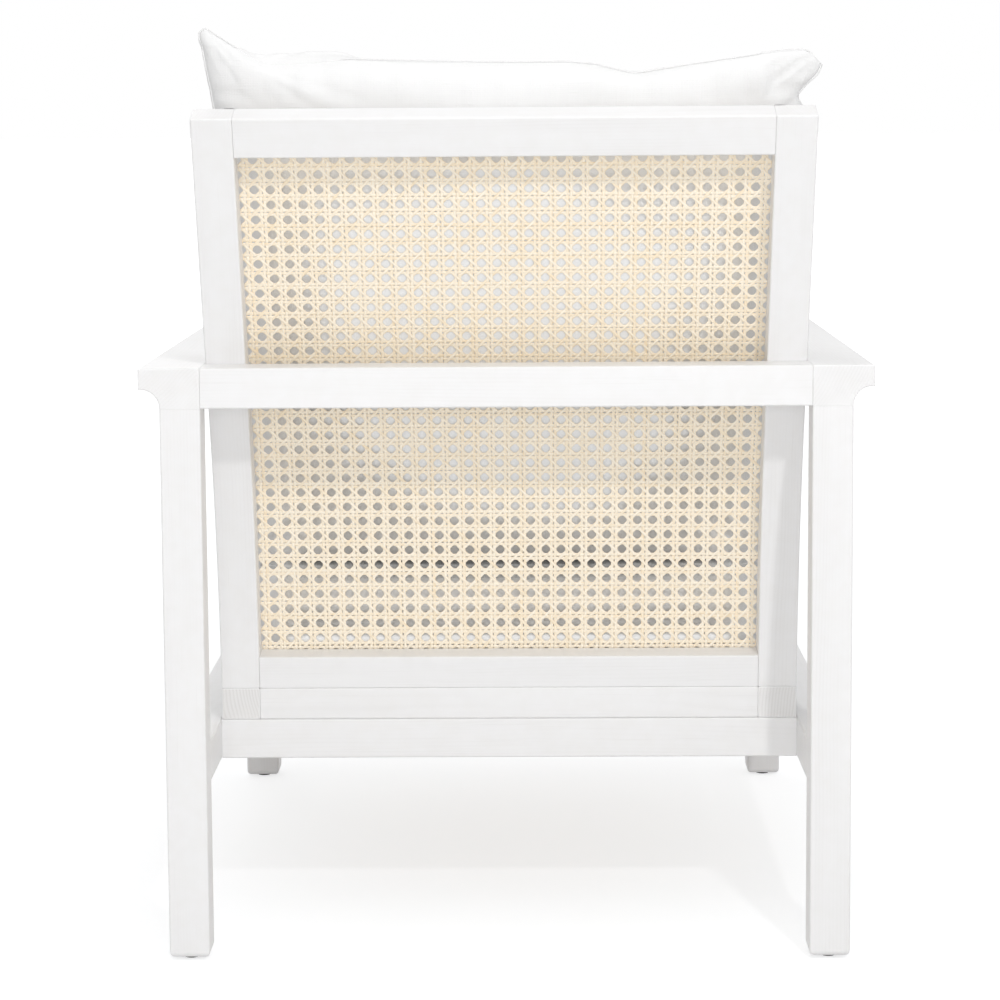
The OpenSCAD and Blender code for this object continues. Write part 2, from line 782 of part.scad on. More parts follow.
// Fraction of the full thickness, from 0 at the seam to 1 in the middle
function swell(a, b, p) = pow(max(0, (1 - a * a) * (1 - b * b)), p);
function spread(k, n) = sin(90 * (2 * k / n - 1));
function ease(v) = v <= 0 ? 0 : v * v * (3 - 2 * v);

// A point of the pillow's rear sheet (face 0) or front sheet (face 1), at a across and b up
function pillow_point(a, b, face) =
    let (
        x = a * (pillow_half + pillow_flare * ease(b) - pillow_draw * (1 - b * b)),
        edge = b * (pillow_h / 2 - (b > 0 ? pillow_draw : pillow_lower_draw) * (1 - a * a)),
        s = pillow_mid + edge + pillow_corner * pow(abs(a), 6) * pow(max(0, b), 4),
        rear = pillow_seam * (1 - swell(a, b, 0.35)),
        front = pillow_seam + (pillow_t - pillow_seam) * swell(a, b, 0.45),
        p = back_pt(s, pillow_back + (face == 0 ? rear : front))
    ) [x, p[0], p[1]];

module pillow_form() {
    cols = pillow_cols;
    rows = pillow_rows;
    n = cols + 1;
    sheet = n * (rows + 1);
    points = [for (face = [0, 1]) for (j = [0:rows]) for (i = [0:cols])
        pillow_point(spread(i, cols), spread(j, rows), face)];
    // The front sheet uses the rear sheet's points along the seam
    function at(face, i, j) =
        (face == 1 && i > 0 && i < cols && j > 0 && j < rows ? sheet : 0) + j * n + i;
    // Each cell is cut along the diagonal that points to the middle, so that no corner folds flat
    cells = [for (face = [0, 1]) for (j = [0:rows - 1]) for (i = [0:cols - 1])
        let (
            a = at(face, i, j),
            b = at(face, face == 0 ? i + 1 : i, face == 0 ? j : j + 1),
            c = at(face, i + 1, j + 1),
            d = at(face, face == 0 ? i : i + 1, face == 0 ? j + 1 : j)
        )
        each (i < cols / 2) == (j < rows / 2) ? [[a, b, c], [a, c, d]] : [[a, b, d], [b, c, d]]];
    polyhedron(points, cells, convexity = 6);
}

// A lens of two arcs, along the middle of the pillow
module filling(extra) {
    half = filling_h / 2 + extra;
    thick = filling_t / 2 + extra;
    r = (half * half + thick * thick) / (2 * thick);
    mid_t = pillow_back + pillow_t / 2;
    low = back_pt(pillow_mid - filling_h / 2, mid_t);
    high = back_pt(pillow_mid + filling_h / 2, mid_t);
    lean = atan2(high[0] - low[0], high[1] - low[1]);
    along_x(-filling_w / 2 - extra, filling_w / 2 + extra)
        translate((low + high) / 2) rotate(-lean) intersection() {
            translate([r - thick, 0]) circle(r, $fn = 360);
            translate([thick - r, 0]) circle(r, $fn = 360);
        }
}

module back_pillow_cover() {
    color(linen) difference() {
        pillow_form();
        filling(soft_gap);
    }
}

module back_pillow_filling() {
    color(foam) filling(0);
}

// The zip follows the lower seam, just under it
module back_pillow_zip() {
    n = 16;
    function seam_s(a) = pillow_low + pillow_lower_draw * (1 - a * a);
    points = [for (k = [0:n]) for (c = [0:3])
        let (
            x = zip_len * (k / n - 0.5),
            s = seam_s(x / pillow_half) - soft_gap - (c < 2 ? zip_t : 0),
            t = seam_t + (c == 0 || c == 3 ? -1 : 1) * zip_w / 2,
            p = back_pt(s, t)
        ) [x, p[0], p[1]]];
    sides = [for (k = [0:n - 1]) for (c = [0:3]) let (m = (c + 1) % 4) each [
        [k * 4 + c, k * 4 + m, k * 4 + 4 + m],
        [k * 4 + c, k * 4 + 4 + m, k * 4 + 4 + c]]];
    ends = [[0, 2, 1], [0, 3, 2], [n * 4, n * 4 + 1, n * 4 + 2], [n * 4, n * 4 + 2, n * 4 + 3]];
    color(linen) polyhedron(points, concat(sides, ends));
}

rear_leg(1);  // rear_leg_left
rear_leg(-1);  // rear_leg_right
front_leg(1);  // front_leg_left
front_leg(-1);  // front_leg_right
arm(1);  // arm_left
arm(-1);  // arm_right
side_rail(1);  // side_rail_left
side_rail(-1);  // side_rail_right
rear_apron();
front_apron();
arm_cross_rail();
seat_rail(1);  // seat_rail_left
seat_rail(-1);  // seat_rail_right
seat_rail_rear();
seat_rail_front();
cleat(1);  // cleat_left
cleat(-1);  // cleat_right
corner_block(1, true);  // corner_block_rear_left
corner_block(-1, true);  // corner_block_rear_right
corner_block(1, false);  // corner_block_front_left
corner_block(-1, false);  // corner_block_front_right
seat_slat(0);  // seat_slat_1
seat_slat(1);  // seat_slat_2
seat_slat(2);  // seat_slat_3
seat_slat(3);  // seat_slat_4
seat_slat(4);  // seat_slat_5
seat_slat(5);  // seat_slat_6
back_stile(1);  // back_stile_left
back_stile(-1);  // back_stile_right
back_top_rail();
back_bottom_rail();
cane_panel();
spline_side(1);  // spline_left
spline_side(-1);  // spline_right
spline_cross(spline_high - spline_w);  // spline_top
spline_cross(spline_low);  // spline_bottom
glide(1, rear_y - leg_d / 2);  // glide_rear_left
glide(-1, rear_y - leg_d / 2);  // glide_rear_right
glide(1, front_y + leg_d / 2);  // glide_front_left
glide(-1, front_y + leg_d / 2);  // glide_front_right
side_frame_dowels();
cross_dowels();
seat_frame_dowels();
back_frame_dowels();
seat_bolts();
back_bolts();
slat_screws();
anti_slip_pads();
seat_cushion_cover();
seat_cushion_foam();
seat_cushion_zip();
back_pillow_cover();
back_pillow_filling();
back_pillow_zip();
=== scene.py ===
"""Armchair with an open wooden frame, a caned back and two loose cushions, drawn around its packed frame."""
import math

import bpy
import numpy as np
from bpy.props import FloatProperty, FloatVectorProperty, PointerProperty
from mathutils import Matrix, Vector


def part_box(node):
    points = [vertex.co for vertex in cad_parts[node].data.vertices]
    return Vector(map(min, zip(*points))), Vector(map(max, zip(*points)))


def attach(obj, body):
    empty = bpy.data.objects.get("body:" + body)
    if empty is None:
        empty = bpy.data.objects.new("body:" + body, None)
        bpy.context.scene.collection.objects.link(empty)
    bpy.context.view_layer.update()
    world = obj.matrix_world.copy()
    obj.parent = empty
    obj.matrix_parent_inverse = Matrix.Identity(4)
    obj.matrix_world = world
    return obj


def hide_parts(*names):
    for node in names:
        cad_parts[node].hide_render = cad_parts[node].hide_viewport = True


bl_info = {
    "name": "Caned Armchair",
    "version": (1, 0, 0),
    "blender": (4, 5, 0),
    "location": "3D View > Sidebar > Chair",
    "description": "Armchair with an open wooden frame, a caned back and two loose cushions",
    "category": "Object",
}

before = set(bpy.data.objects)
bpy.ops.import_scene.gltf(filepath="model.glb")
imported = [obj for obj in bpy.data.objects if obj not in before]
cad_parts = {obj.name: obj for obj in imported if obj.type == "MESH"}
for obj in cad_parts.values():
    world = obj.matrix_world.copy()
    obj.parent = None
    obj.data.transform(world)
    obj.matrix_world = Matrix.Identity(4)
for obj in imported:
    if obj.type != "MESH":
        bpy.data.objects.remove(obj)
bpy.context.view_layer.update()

MM = 0.001
SIDES = {"left": 1, "right": -1}
SLATS = 6
# Smallest radius of an edge that shrinks towards a rounded end
LEAST_ROUND = 0.2 * MM
# Length over which the foot of the back bends its section to the seat frame's top
FOOT_RUN = 12 * MM
# The axis along a member, then the two axes of its section
AXES = {"x": (0, 1, 2), "y": (1, 2, 0), "z": (2, 0, 1)}


def length(name, text, value, low, high):
    """A length that a user may change."""
    return FloatProperty(name=name, description=text, default=value, min=low, max=high, subtype="DISTANCE",
                         unit="LENGTH", precision=4)


def angle(name, text, degrees, low=-1, high=1):
    """An angle that a user may change."""
    return FloatProperty(name=name, description=text, default=math.radians(degrees), min=low, max=high,
                         subtype="ANGLE", unit="ROTATION")


def watts(name, text, value):
    """The power of a lamp, which a user may change."""
    return FloatProperty(name=name, description=text + " in watts", default=value, min=0, max=500)


def colour(name, text, value):
    """A colour that a user may change, in linear red, green and blue."""
    return FloatVectorProperty(name=name, description=text, default=value, size=3, min=0, max=1,
                               subtype="COLOR")


class ChairWoodSizes(bpy.types.PropertyGroup):
    """Sizes of the wooden pieces that the frame doesn't give."""
    edge: length("Edge", "Radius of the long edges", 0.002, 0.0005, 0.004)
    tip: length("Free End", "Radius round a free end", 0.0016, 0.0004, 0.003)
    seam: length("Seam", "Chamfer where two pieces meet", 0.0005, 0.0001, 0.001)
    foot: length("Foot", "Radius under a foot", 0.006, 0.002, 0.009)
    arm_edge: length("Arm Edge", "Height of an arm at its outer edge", 0.021, 0.012, 0.021)
    cove: length("Cove", "Radius of the hollow under an arm", 0.0185, 0.01, 0.0185)


class ChairBackSizes(bpy.types.PropertyGroup):
    """The bend of the back and the sections of its frame."""
    rake: angle("Rake", "Lean of the straight upper part", 20, 0.2, 0.5)
    foot_rake: angle("Foot Rake", "Lean where the back stands on the seat frame", 5, 0.05, 0.15)
    bend: length("Bend", "Radius of the bend at the rear face", 1.08, 0.95, 1.2)
    straight: length("Straight", "Length of the straight upper part", 0.33, 0.3, 0.4)
    thick: length("Thickness", "Thickness of the back frame", 0.03, 0.026, 0.036)
    stile: length("Stile", "Width of a stile", 0.04, 0.036, 0.05)
    top_rail: length("Top Rail", "Height of the top rail", 0.04, 0.034, 0.06)
    bottom_rail: length("Bottom Rail", "Height of the bottom rail", 0.033, 0.03, 0.055)
    rebate: length("Rebate Width", "Width of the rebate round the panel", 0.009, 0.008, 0.012)
    rebate_deep: length("Rebate Depth", "Depth of the rebate", 0.0032, 0.003, 0.005)


class ChairCaneSizes(bpy.types.PropertyGroup):
    """The webbing of the back."""
    pitch: length("Pitch", "Distance between two pairs of strands", 0.01565, 0.012, 0.02)
    pair: length("Pair", "Distance of a strand from the middle of its pair", 0.0019, 0.001, 0.003)
    strand: length("Strand", "Width of an upright or level strand", 0.0029, 0.0015, 0.003)
    slant: length("Slant", "Width of a slanting strand", 0.0028, 0.0015, 0.003)
    thick: length("Thickness", "Thickness of a strand", 0.0005, 0.0003, 0.0008)


class ChairCushionSizes(bpy.types.PropertyGroup):
    """The two cushions."""
    swell: length("Swell", "Furthest that the filling pushes the pillow's cloth out", 0.022, 0.005, 0.03)
    seat_swell: length("Seat Swell", "Furthest that the foam pushes the cloth out", 0.008, 0.004, 0.016)
    welt: length("Welt", "Radius of the seams", 0.0006, 0.0005, 0.003)
    pressure: FloatProperty(name="Pressure", description="Pressure of the filling on the cloth", default=4,
                            min=1, max=10)


class ChairFinishes(bpy.types.PropertyGroup):
    """Colours of the finishes."""
    wash: colour("Whitewash", "Paint on the wood", (0.875, 0.872, 0.875))
    wash_low: colour("Whitewash in the Grain", "Paint where the grain shows through", (0.68, 0.665, 0.65))
    beech: colour("Beech", "Bare wood", (0.62, 0.44, 0.26))
    beech_low: colour("Beech Grain", "Grain of the bare wood", (0.42, 0.27, 0.14))
    cane: colour("Cane", "Pale strands", (0.99, 0.918, 0.785))
    cane_low: colour("Ripe Cane", "Honey-coloured spots on the strands", (0.92, 0.72, 0.44))
    linen: colour("Linen", "Cloth of the cushions", (0.885, 0.885, 0.885))
    # linen_low is also the painted shade in the hollows between the threads of the weave
    linen_low: colour("Linen Shade", "Thin threads of the cloth", (0.83, 0.826, 0.82))
    floor: colour("Floor", "Floor of the stage", (0.80, 0.80, 0.80))


class ChairStageSizes(bpy.types.PropertyGroup):
    """The camera and the lamps."""
    lens: FloatProperty(name="Lens", description="Focal length in millimetres", default=93.0, min=20, max=200)
    pitch: angle("Pitch", "Downward tilt of the camera", 5.779)
    yaw: angle("Yaw", "Turn of the camera from the rear", 0.719)
    roll: angle("Roll", "Roll of the camera", -0.384)
    place: FloatVectorProperty(name="Camera Place", description="Where the camera stands", size=3,
                               default=(-0.0207, 2.8496, 0.8313), subtype="TRANSLATION", unit="LENGTH")
    shift: FloatVectorProperty(name="Shift", description="Lens shift", default=(0.0052, -0.12), size=2)
    key: watts("Key Lamp", "Power of the main lamp", 23)
    fill: watts("Fill Lamp", "Power of the lamp beside the camera", 16.5)
    front: watts("Front Lamp", "Power of the far lamp", 16)
    top: watts("Top Lamp", "Power of the overhead lamp", 18.5)
    sky: FloatProperty(name="Sky", description="Strength of the even light", default=0.585, min=0, max=2)


def sizes(group):
    """The values of one of the property groups above."""
    return getattr(bpy.context.scene, "chair_" + group)


# Meshes

def linked(name, data):
    """A new object in the scene."""
    obj = bpy.data.objects.new(name, data)
    bpy.context.scene.collection.objects.link(obj)
    return obj


def outward(points, faces):
    """The faces, all turned round if together they enclose a negative volume, which is the sum of their
    corner products."""
    fans = [np.stack([np.broadcast_to(f[:, :1], f[:, 1:-1].shape), f[:, 1:-1], f[:, 2:]], -1).reshape(-1, 3)
            for f in faces]
    a, b, c = (points[np.concatenate(fans)[:, k]] for k in range(3))
    volume = np.einsum("ij,ij->i", a, np.cross(b, c)).sum()
    return [f[:, ::-1] for f in faces] if volume < 0 else faces


def new_piece(name, points, faces, attributes=None, sharp=math.radians(35)):
    """An object whose mesh has the points (n, 3) and the faces, a list of arrays (k, corners).
    attributes are values for each point: one number, or three."""
    mesh = bpy.data.meshes.new(name)
    mesh.from_pydata(points.tolist(), [], [f for group in faces for f in group.tolist()])
    for key, values in (attributes or {}).items():
        flat = np.asarray(values, np.float32)
        kind, field = ("FLOAT", "value") if flat.ndim == 1 else ("FLOAT_VECTOR", "vector")
        mesh.attributes.new(key, kind, "POINT").data.foreach_set(field, flat.ravel())
    mesh.shade_smooth()
    mesh.set_sharp_from_angle(angle=sharp)
    mesh.validate()
    return linked(name, mesh)


def ring_faces(rings, count, closed=True):
    """Four-cornered faces between consecutive rings of count points, numbered ring after ring."""
    span = np.arange(count if closed else count - 1)
    low = np.arange(rings - 1)[:, None] * count + span
    high = np.arange(rings - 1)[:, None] * count + (span + 1) % count
    return np.stack([low, high, high + count, low + count], -1).reshape(-1, 4)


def capped_faces(rings, count):
    """The faces between rings of points, and one face over each end."""
    ring = np.arange(count)[None]
    return [ring_faces(rings, count), ring[:, ::-1], (rings - 1) * count + ring]


def slab_faces(n, m):
    """The faces of a grid of n by m points, of its twin numbered after it, and of the four walls between."""
    top = ring_faces(n, m, closed=False)
    edge = np.concatenate([np.arange(m), np.arange(1, n) * m + m - 1, (n - 1) * m + np.arange(m - 2, -1, -1),
                           np.arange(n - 2, 0, -1) * m])
    on = np.roll(edge, -1)
    return [top, top[:, ::-1] + n * m, np.stack([edge, on, on + n * m, edge + n * m], -1)]


def round_axis(radius, z, turns):
    """Points in rings of those radii and heights round the upright axis."""
    q = np.arange(turns) * 2 * np.pi / turns
    height = np.broadcast_to(z[:, None], (len(z), turns))
    return np.stack([radius[:, None] * np.cos(q), radius[:, None] * np.sin(q), height], -1).reshape(-1, 3)


def rounded_section(corners, radii, steps=4):
    """A closed outline with a rounded corner at each of the given ones, as an array (corners, steps + 1, 2).
    Each corner is an arc that touches both of its sides, swung evenly from one to the other."""
    p = np.asarray(corners, float)
    r = np.broadcast_to(np.asarray(radii, float), len(p))[:, None]
    back, on = np.roll(p, 1, 0) - p, np.roll(p, -1, 0) - p
    back /= np.linalg.norm(back, axis=1, keepdims=True)
    on /= np.linalg.norm(on, axis=1, keepdims=True)
    half = np.arccos(np.clip((back * on).sum(1), -1, 1))[:, None] / 2
    centre = p + (back + on) / np.linalg.norm(back + on, axis=1, keepdims=True) * r / np.sin(half)
    a, b = p + back * r / np.tan(half) - centre, p + on * r / np.tan(half) - centre
    swing = np.pi - 2 * half[:, :, None]
    u = np.linspace(0, 1, steps + 1)[None, :, None]
    arc = (np.sin((1 - u) * swing) * a[:, None] + np.sin(u * swing) * b[:, None]) / np.sin(swing)
    return centre[:, None] + arc


def inset_outline(outline, inset):
    """The outline (n, 2), moved inwards by inset along the normal of its chords."""
    chord = np.roll(outline, -1, 0) - np.roll(outline, 1, 0)
    chord /= np.linalg.norm(chord, axis=1, keepdims=True)
    area = (outline[:, 0] * np.roll(outline[:, 1], -1) - outline[:, 1] * np.roll(outline[:, 0], -1)).sum()
    return outline + math.copysign(inset, area) * np.stack([-chord[:, 1], chord[:, 0]], -1)


def outline_of(corners, radii):
    """The function that gives an outline with rounded corners at an inset."""
    outline = rounded_section(corners, radii).reshape(-1, 2)
    return lambda inset: inset_outline(outline, inset)


def stations(start, end, start_round, end_round, steps=5):
    """Places along a member and the inset of the section there. Each end is a quarter circle:
    at the angle q, the place is radius (1 - cos q) in from the end, and the inset is radius (1 - sin q)."""
    q = np.linspace(0, np.pi / 2, steps + 1)
    along = [start + start_round * (1 - np.cos(q)), end - end_round * (1 - np.cos(q[::-1]))]
    inset = [start_round * (1 - np.sin(q)), end_round * (1 - np.sin(q[::-1]))]
    return np.concatenate(along), np.concatenate(inset)


def sweep(name, section, along, inset, place, end_tone=0.25, turned=False):
    """A closed bar: section(inset) gives the outline at each station, and place(along, u, v) puts its points
    into the chair. Each point keeps its place in the timber, with the growth rings turned a quarter round if
    asked, how near it is to a rounded edge, and on the two ends how much darker the end grain is."""
    rings = np.stack([section(i) for i in inset])
    shape = rings.shape[:2]
    station = np.broadcast_to(along[:, None], shape)
    points = place(station, rings[..., 0], rings[..., 1]).reshape(-1, 3)
    first = rings[0]
    chords = np.diff(np.concatenate([first[-1:], first, first[:1]]), axis=0)
    lengths = np.linalg.norm(chords, axis=1)
    turn = np.abs(np.cross(chords[:-1], chords[1:])) / (lengths[:-1] * lengths[1:] + 1e-12)
    edge = np.broadcast_to(np.clip(turn * 3, 0, 1), shape)
    ends = np.zeros(shape)
    ends[[0, -1]] = end_tone
    # Each piece is cut from another place of the wood, told from the letters of its name
    shift = np.array([sum(map(ord, name)) % 97, sum(map(ord, name[::2])) % 89, 0]) * [0.37, 0.013, 0]
    across = rings[..., ::-1] if turned else rings
    grain = np.concatenate([station[..., None], across], -1).reshape(-1, 3) + shift
    obj = new_piece(name, points, outward(points, capped_faces(*shape)),
                    {"grain": grain, "edge": edge.reshape(-1), "end": ends.reshape(-1)})
    even = obj.modifiers.new("Even Shading", "WEIGHTED_NORMAL")
    even.keep_sharp = True
    return obj


def finish_piece(obj, material, slot, body, *nodes):
    """Gives a piece its material and slot, sets it on its body, and lets it stand for CAD nodes."""
    obj.data.materials.append(material)
    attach(obj, body)
    if nodes:
        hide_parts(*nodes)
    return obj


def corners_of(node):
    """The lowest and highest corner of a CAD node, as arrays."""
    low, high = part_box(node)
    return np.array(low), np.array(high)


def straight_place(axis, mid):
    """The function that puts a section across an axis, around the point mid."""
    along, across, up = AXES[axis]

    def place(a, u, v):
        out = np.empty(u.shape + (3,))
        out[..., along] = a
        out[..., across] = mid[across] + u
        out[..., up] = mid[up] + v
        return out
    return place


def timber_piece(node, section, along, inset, place, slot="white_wood", **looks):
    """A swept bar that stands for a CAD node of the frame, painted or left bare."""
    obj = sweep(node + "_timber", section, along, inset, place, **looks)
    finish = whitewash() if slot == "white_wood" else bare_beech()
    finish_piece(obj, finish, slot, "frame", node)


def straight_member(node, axis, start_round, end_round, slot="white_wood", edge=None, **looks):
    """A straight bar with a rounded rectangular section, as large as its CAD node."""
    low, high = corners_of(node)
    along, across, up = AXES[axis]
    size = high - low
    edge = edge or sizes("wood").edge

    def section(inset):
        w, h = size[across] / 2 - inset, size[up] / 2 - inset
        corners = [(w, h), (-w, h), (-w, -h), (w, -h)]
        return rounded_section(corners, max(edge - inset, LEAST_ROUND)).reshape(-1, 2)
    a, inset = stations(low[along], high[along], start_round, end_round)
    timber_piece(node, section, a, inset, straight_place(axis, (low + high) / 2), slot, **looks)


# The bend of the back. s runs up along its rear face and t stands forward of it.

def bend_frame():
    """The middle of the bend and the point where it ends, in y and z, and its length at the rear face."""
    b = sizes("back")
    rail = corners_of("seat_rail_rear")[1]
    middle = np.array([rail[1] + b.bend * math.cos(b.foot_rake), rail[2] - b.bend * math.sin(b.foot_rake)])
    end = middle + b.bend * np.array([-math.cos(b.rake), math.sin(b.rake)])
    return middle, end, b.bend * (b.rake - b.foot_rake)


def back_place(s, x, t):
    """Points on the back: an arc of the bend's radius plus t up to the bend's end, then a straight line."""
    b = sizes("back")
    middle, _, bent = bend_frame()
    s, x, t = np.broadcast_arrays(s, x, t)
    angle = b.foot_rake + np.minimum(s, bent) / b.bend
    over = np.maximum(s - bent, 0)
    y = middle[0] - (b.bend + t) * np.cos(angle) + over * math.sin(b.rake)
    z = middle[1] + (b.bend + t) * np.sin(angle) + over * math.cos(b.rake)
    return np.stack([x, y, z], -1)


def back_foot(t):
    """The s at which the line t leaves the top of the seat frame."""
    b = sizes("back")
    middle = bend_frame()[0]
    return (np.arcsin((corners_of("seat_rail_rear")[1][2] - middle[1]) / (b.bend + t)) - b.foot_rake) * b.bend


def foot_share(s):
    """How far a point of the back moves to meet the seat frame: fully at the foot, and not past its run."""
    return np.clip(1 - s / FOOT_RUN, 0, 1)


def back_length():
    """Length of the rear face of a stile."""
    return bend_frame()[2] + sizes("back").straight


# Shader nodes

class Shader:
    """Adds nodes to a tree: sockets among the inputs are linked, and other values are set."""

    def __init__(self, tree):
        self.tree = tree

    def feed(self, socket, value):
        if isinstance(value, bpy.types.NodeSocket):
            self.tree.links.new(value, socket)
        else:
            socket.default_value = value

    def add(self, kind, inputs=None, **settings):
        node = self.tree.nodes.new("ShaderNode" + kind)
        for key, value in settings.items():
            setattr(node, key, value)
        for key, value in (inputs or {}).items():
            self.feed(node.inputs[key], value)
        return node

    def math(self, operation, a, b=0.0, c=0.0, clamp=False):
        node = self.add("Math", {0: a, 1: b, 2: c}, operation=operation, use_clamp=clamp)
        return node.outputs[0]

    def hypot(self, a, b):
        return self.math("SQRT", self.math("ADD", self.math("MULTIPLY", a, a), self.math("MULTIPLY", b, b)))

    def scaled(self, vector, factors):
        return self.add("VectorMath", {0: vector, 1: factors}, operation="MULTIPLY").outputs[0]

    def noise(self, vector, scale=1.0, detail=2.0, rough=0.5):
        return self.add("TexNoise", {"Vector": vector, "Scale": scale, "Detail": detail,
                                     "Roughness": rough}).outputs["Fac"]

    def stretched(self, vector, factors, detail=2.0, rough=0.5):
        """Noise that is drawn out or pressed together along each axis."""
        return self.noise(self.scaled(vector, factors), 1.0, detail, rough)

    def blend(self, fac, a, b):
        """A mix of two colours, whose inputs are numbered, as those of other data types share their names."""
        return self.add("Mix", {0: fac, 6: a, 7: b}, data_type="RGBA").outputs[2]

    def mark(self, name, output="Fac"):
        """What the points of a mesh keep under that name."""
        return self.add("Attribute", attribute_name=name).outputs[output]

    def seen(self):
        """1 for rays that show the background: from the camera, in gloss and through glass."""
        rays = self.add("LightPath").outputs
        bent = self.math("MAXIMUM", rays["Is Glossy Ray"], rays["Is Transmission Ray"])
        return self.math("MAXIMUM", rays["Is Camera Ray"], bent)

    def ramp(self, fac, low, high):
        node = self.add("MapRange", {"Value": fac, "From Min": low, "From Max": high}, clamp=True)
        return node.outputs[0]


def shader_group(name, inputs, outputs, build):
    """A node group with named inputs and outputs, built once: build(shader, inputs) returns the outputs."""
    if name in bpy.data.node_groups:
        return bpy.data.node_groups[name]
    tree = bpy.data.node_groups.new(name, "ShaderNodeTree")
    kinds = {"color": "NodeSocketColor", "vector": "NodeSocketVector", "value": "NodeSocketFloat"}
    for key, (kind, value) in inputs.items():
        socket = tree.interface.new_socket(key, in_out="INPUT", socket_type=kinds[kind])
        socket.default_value = value
    for key, kind in outputs.items():
        tree.interface.new_socket(key, in_out="OUTPUT", socket_type=kinds[kind])
    shader = Shader(tree)
    source = tree.nodes.new("NodeGroupInput")
    sink = tree.nodes.new("NodeGroupOutput")
    for key, socket in build(shader, source.outputs).items():
        tree.links.new(socket, sink.inputs[key])
    return tree


def rgba(value):
    """A colour property with full alpha."""
    return (*value, 1.0)


def grain_group():
    """Growth rings round a heart beside the timber, seen as lines along it and as arcs across its ends,
    with short dark pores that run along it."""
    def build(n, i):
        place = i["Place"]
        drift = n.stretched(place, (1.6, 9.0, 9.0))
        split = n.add("SeparateXYZ", {0: place}).outputs
        radius = n.hypot(n.math("SUBTRACT", n.math("FRACT", split["Y"]), 0.6),
                         n.math("SUBTRACT", split["Z"], 0.07))
        bent = n.math("ADD", radius, n.math("MULTIPLY", drift, 0.03))
        wave = n.math("SINE", n.math("MULTIPLY", bent, n.math("DIVIDE", 2 * math.pi, i["Ring"])))
        ring = n.math("POWER", n.math("MULTIPLY_ADD", wave, 0.5, 0.5), 2.0)
        pores = n.ramp(n.stretched(place, (14.0, 700.0, 700.0), rough=0.6), 0.56, 0.72)
        cloud = n.stretched(place, (3.0, 26.0, 26.0), 3.0)
        streak = n.stretched(place, (2.0, 190.0, 190.0), rough=0.6)
        bold = n.math("MULTIPLY_ADD", i["End"], 2.2, n.ramp(cloud, 0.4, 0.7))
        lines = n.math("MULTIPLY", ring, n.math("MULTIPLY", bold, i["Ring Strength"]))
        marks = n.math("MULTIPLY", pores, n.math("MULTIPLY", n.ramp(streak, 0.42, 0.62), i["Pore Strength"]))
        mask = n.math("ADD", lines, marks, clamp=True)
        soft = n.math("MULTIPLY", n.ramp(cloud, 0.3, 0.8), 0.16)
        fac = n.math("ADD", mask, n.math("MULTIPLY_ADD", i["End"], 0.3, soft), clamp=True)
        return {"Color": n.blend(fac, i["Light"], i["Dark"]),
                "Height": n.math("SUBTRACT", 1.0, mask),
                "Roughness": n.math("MULTIPLY_ADD", mask, 0.16, i["Roughness"])}
    return shader_group("Timber Grain", {
        "Place": ("vector", (0, 0, 0)), "Light": ("color", (1, 1, 1, 1)), "Dark": ("color", (0, 0, 0, 1)),
        "Ring": ("value", 0.004), "Ring Strength": ("value", 0.3), "Pore Strength": ("value", 0.4),
        "Roughness": ("value", 0.4), "End": ("value", 0.0)},
        {"Color": "color", "Height": "value", "Roughness": "value"}, build)


def wear_group():
    """Rubbed edges: the mask follows the rounded edges, broken up by noise."""
    def build(n, i):
        patchy = n.ramp(n.noise(i["Place"], 60.0, 3.0), 0.38, 0.66)
        mask = n.math("MULTIPLY", n.math("MULTIPLY", i["Edge"], patchy), i["Amount"], clamp=True)
        return {"Color": n.blend(mask, i["Color"], i["Worn"]), "Mask": mask}
    return shader_group("Edge Wear", {
        "Place": ("vector", (0, 0, 0)),
        "Color": ("color", (1, 1, 1, 1)), "Worn": ("color", (0.6, 0.5, 0.4, 1)),
        "Edge": ("value", 0.0), "Amount": ("value", 0.3)}, {"Color": "color", "Mask": "value"}, build)


def weave_group():
    """Plain weave of uneven yarns: warp and weft cross in a chequer, and thick and thin yarns run for a while
    along each direction."""
    def build(n, i):
        split = n.add("SeparateXYZ", {0: i["Place"]}).outputs
        turn = n.math("DIVIDE", math.pi, i["Pitch"])
        warp = n.math("SINE", n.math("MULTIPLY", split["X"], turn))
        weft = n.math("SINE", n.math("MULTIPLY", split["Y"], turn))
        over = n.math("GREATER_THAN", n.math("MULTIPLY", warp, weft), 0.0)
        tops = n.math("ADD", n.math("MULTIPLY", over, n.math("ABSOLUTE", warp)),
                      n.math("MULTIPLY", n.math("SUBTRACT", 1.0, over), n.math("ABSOLUTE", weft)))
        along = n.stretched(i["Place"], (520.0, 22.0, 1.0), rough=0.6)
        across = n.stretched(i["Place"], (22.0, 520.0, 1.0), rough=0.6)
        slub = n.math("MAXIMUM", n.ramp(along, 0.52, 0.78), n.ramp(across, 0.52, 0.78))
        soft = n.noise(i["Place"], 30.0, 3.0)
        # The thread crowns (tops) are painted lighter and the hollows between threads darker: painted shade
        yarn_and_painted_shade = n.math("MULTIPLY_ADD", n.math("ADD", along, across), 0.35, n.math("MULTIPLY", tops, 0.3))
        tone = n.math("ADD", yarn_and_painted_shade, n.math("MULTIPLY", soft, 0.3))
        tone = n.math("MULTIPLY", tone, i["Contrast"], clamp=True)
        height = n.math("ADD", n.math("MULTIPLY", tops, 0.45), n.math("MULTIPLY", slub, i["Slub"]))
        return {"Color": n.blend(tone, i["Low"], i["High"]), "Height": height}
    return shader_group("Plain Weave", {
        "Place": ("vector", (0, 0, 0)),
        "Low": ("color", (0.7, 0.7, 0.7, 1)), "High": ("color", (0.9, 0.9, 0.9, 1)),
        "Pitch": ("value", 0.0016), "Slub": ("value", 0.8), "Contrast": ("value", 1.3)},
        {"Color": "color", "Height": "value"}, build)


def base_material(name):
    """A new material, the helper that adds nodes to it, and its Principled shader."""
    material = bpy.data.materials.new(name)
    material.use_nodes = True
    tree = material.node_tree
    return material, Shader(tree), tree.nodes["Principled BSDF"]


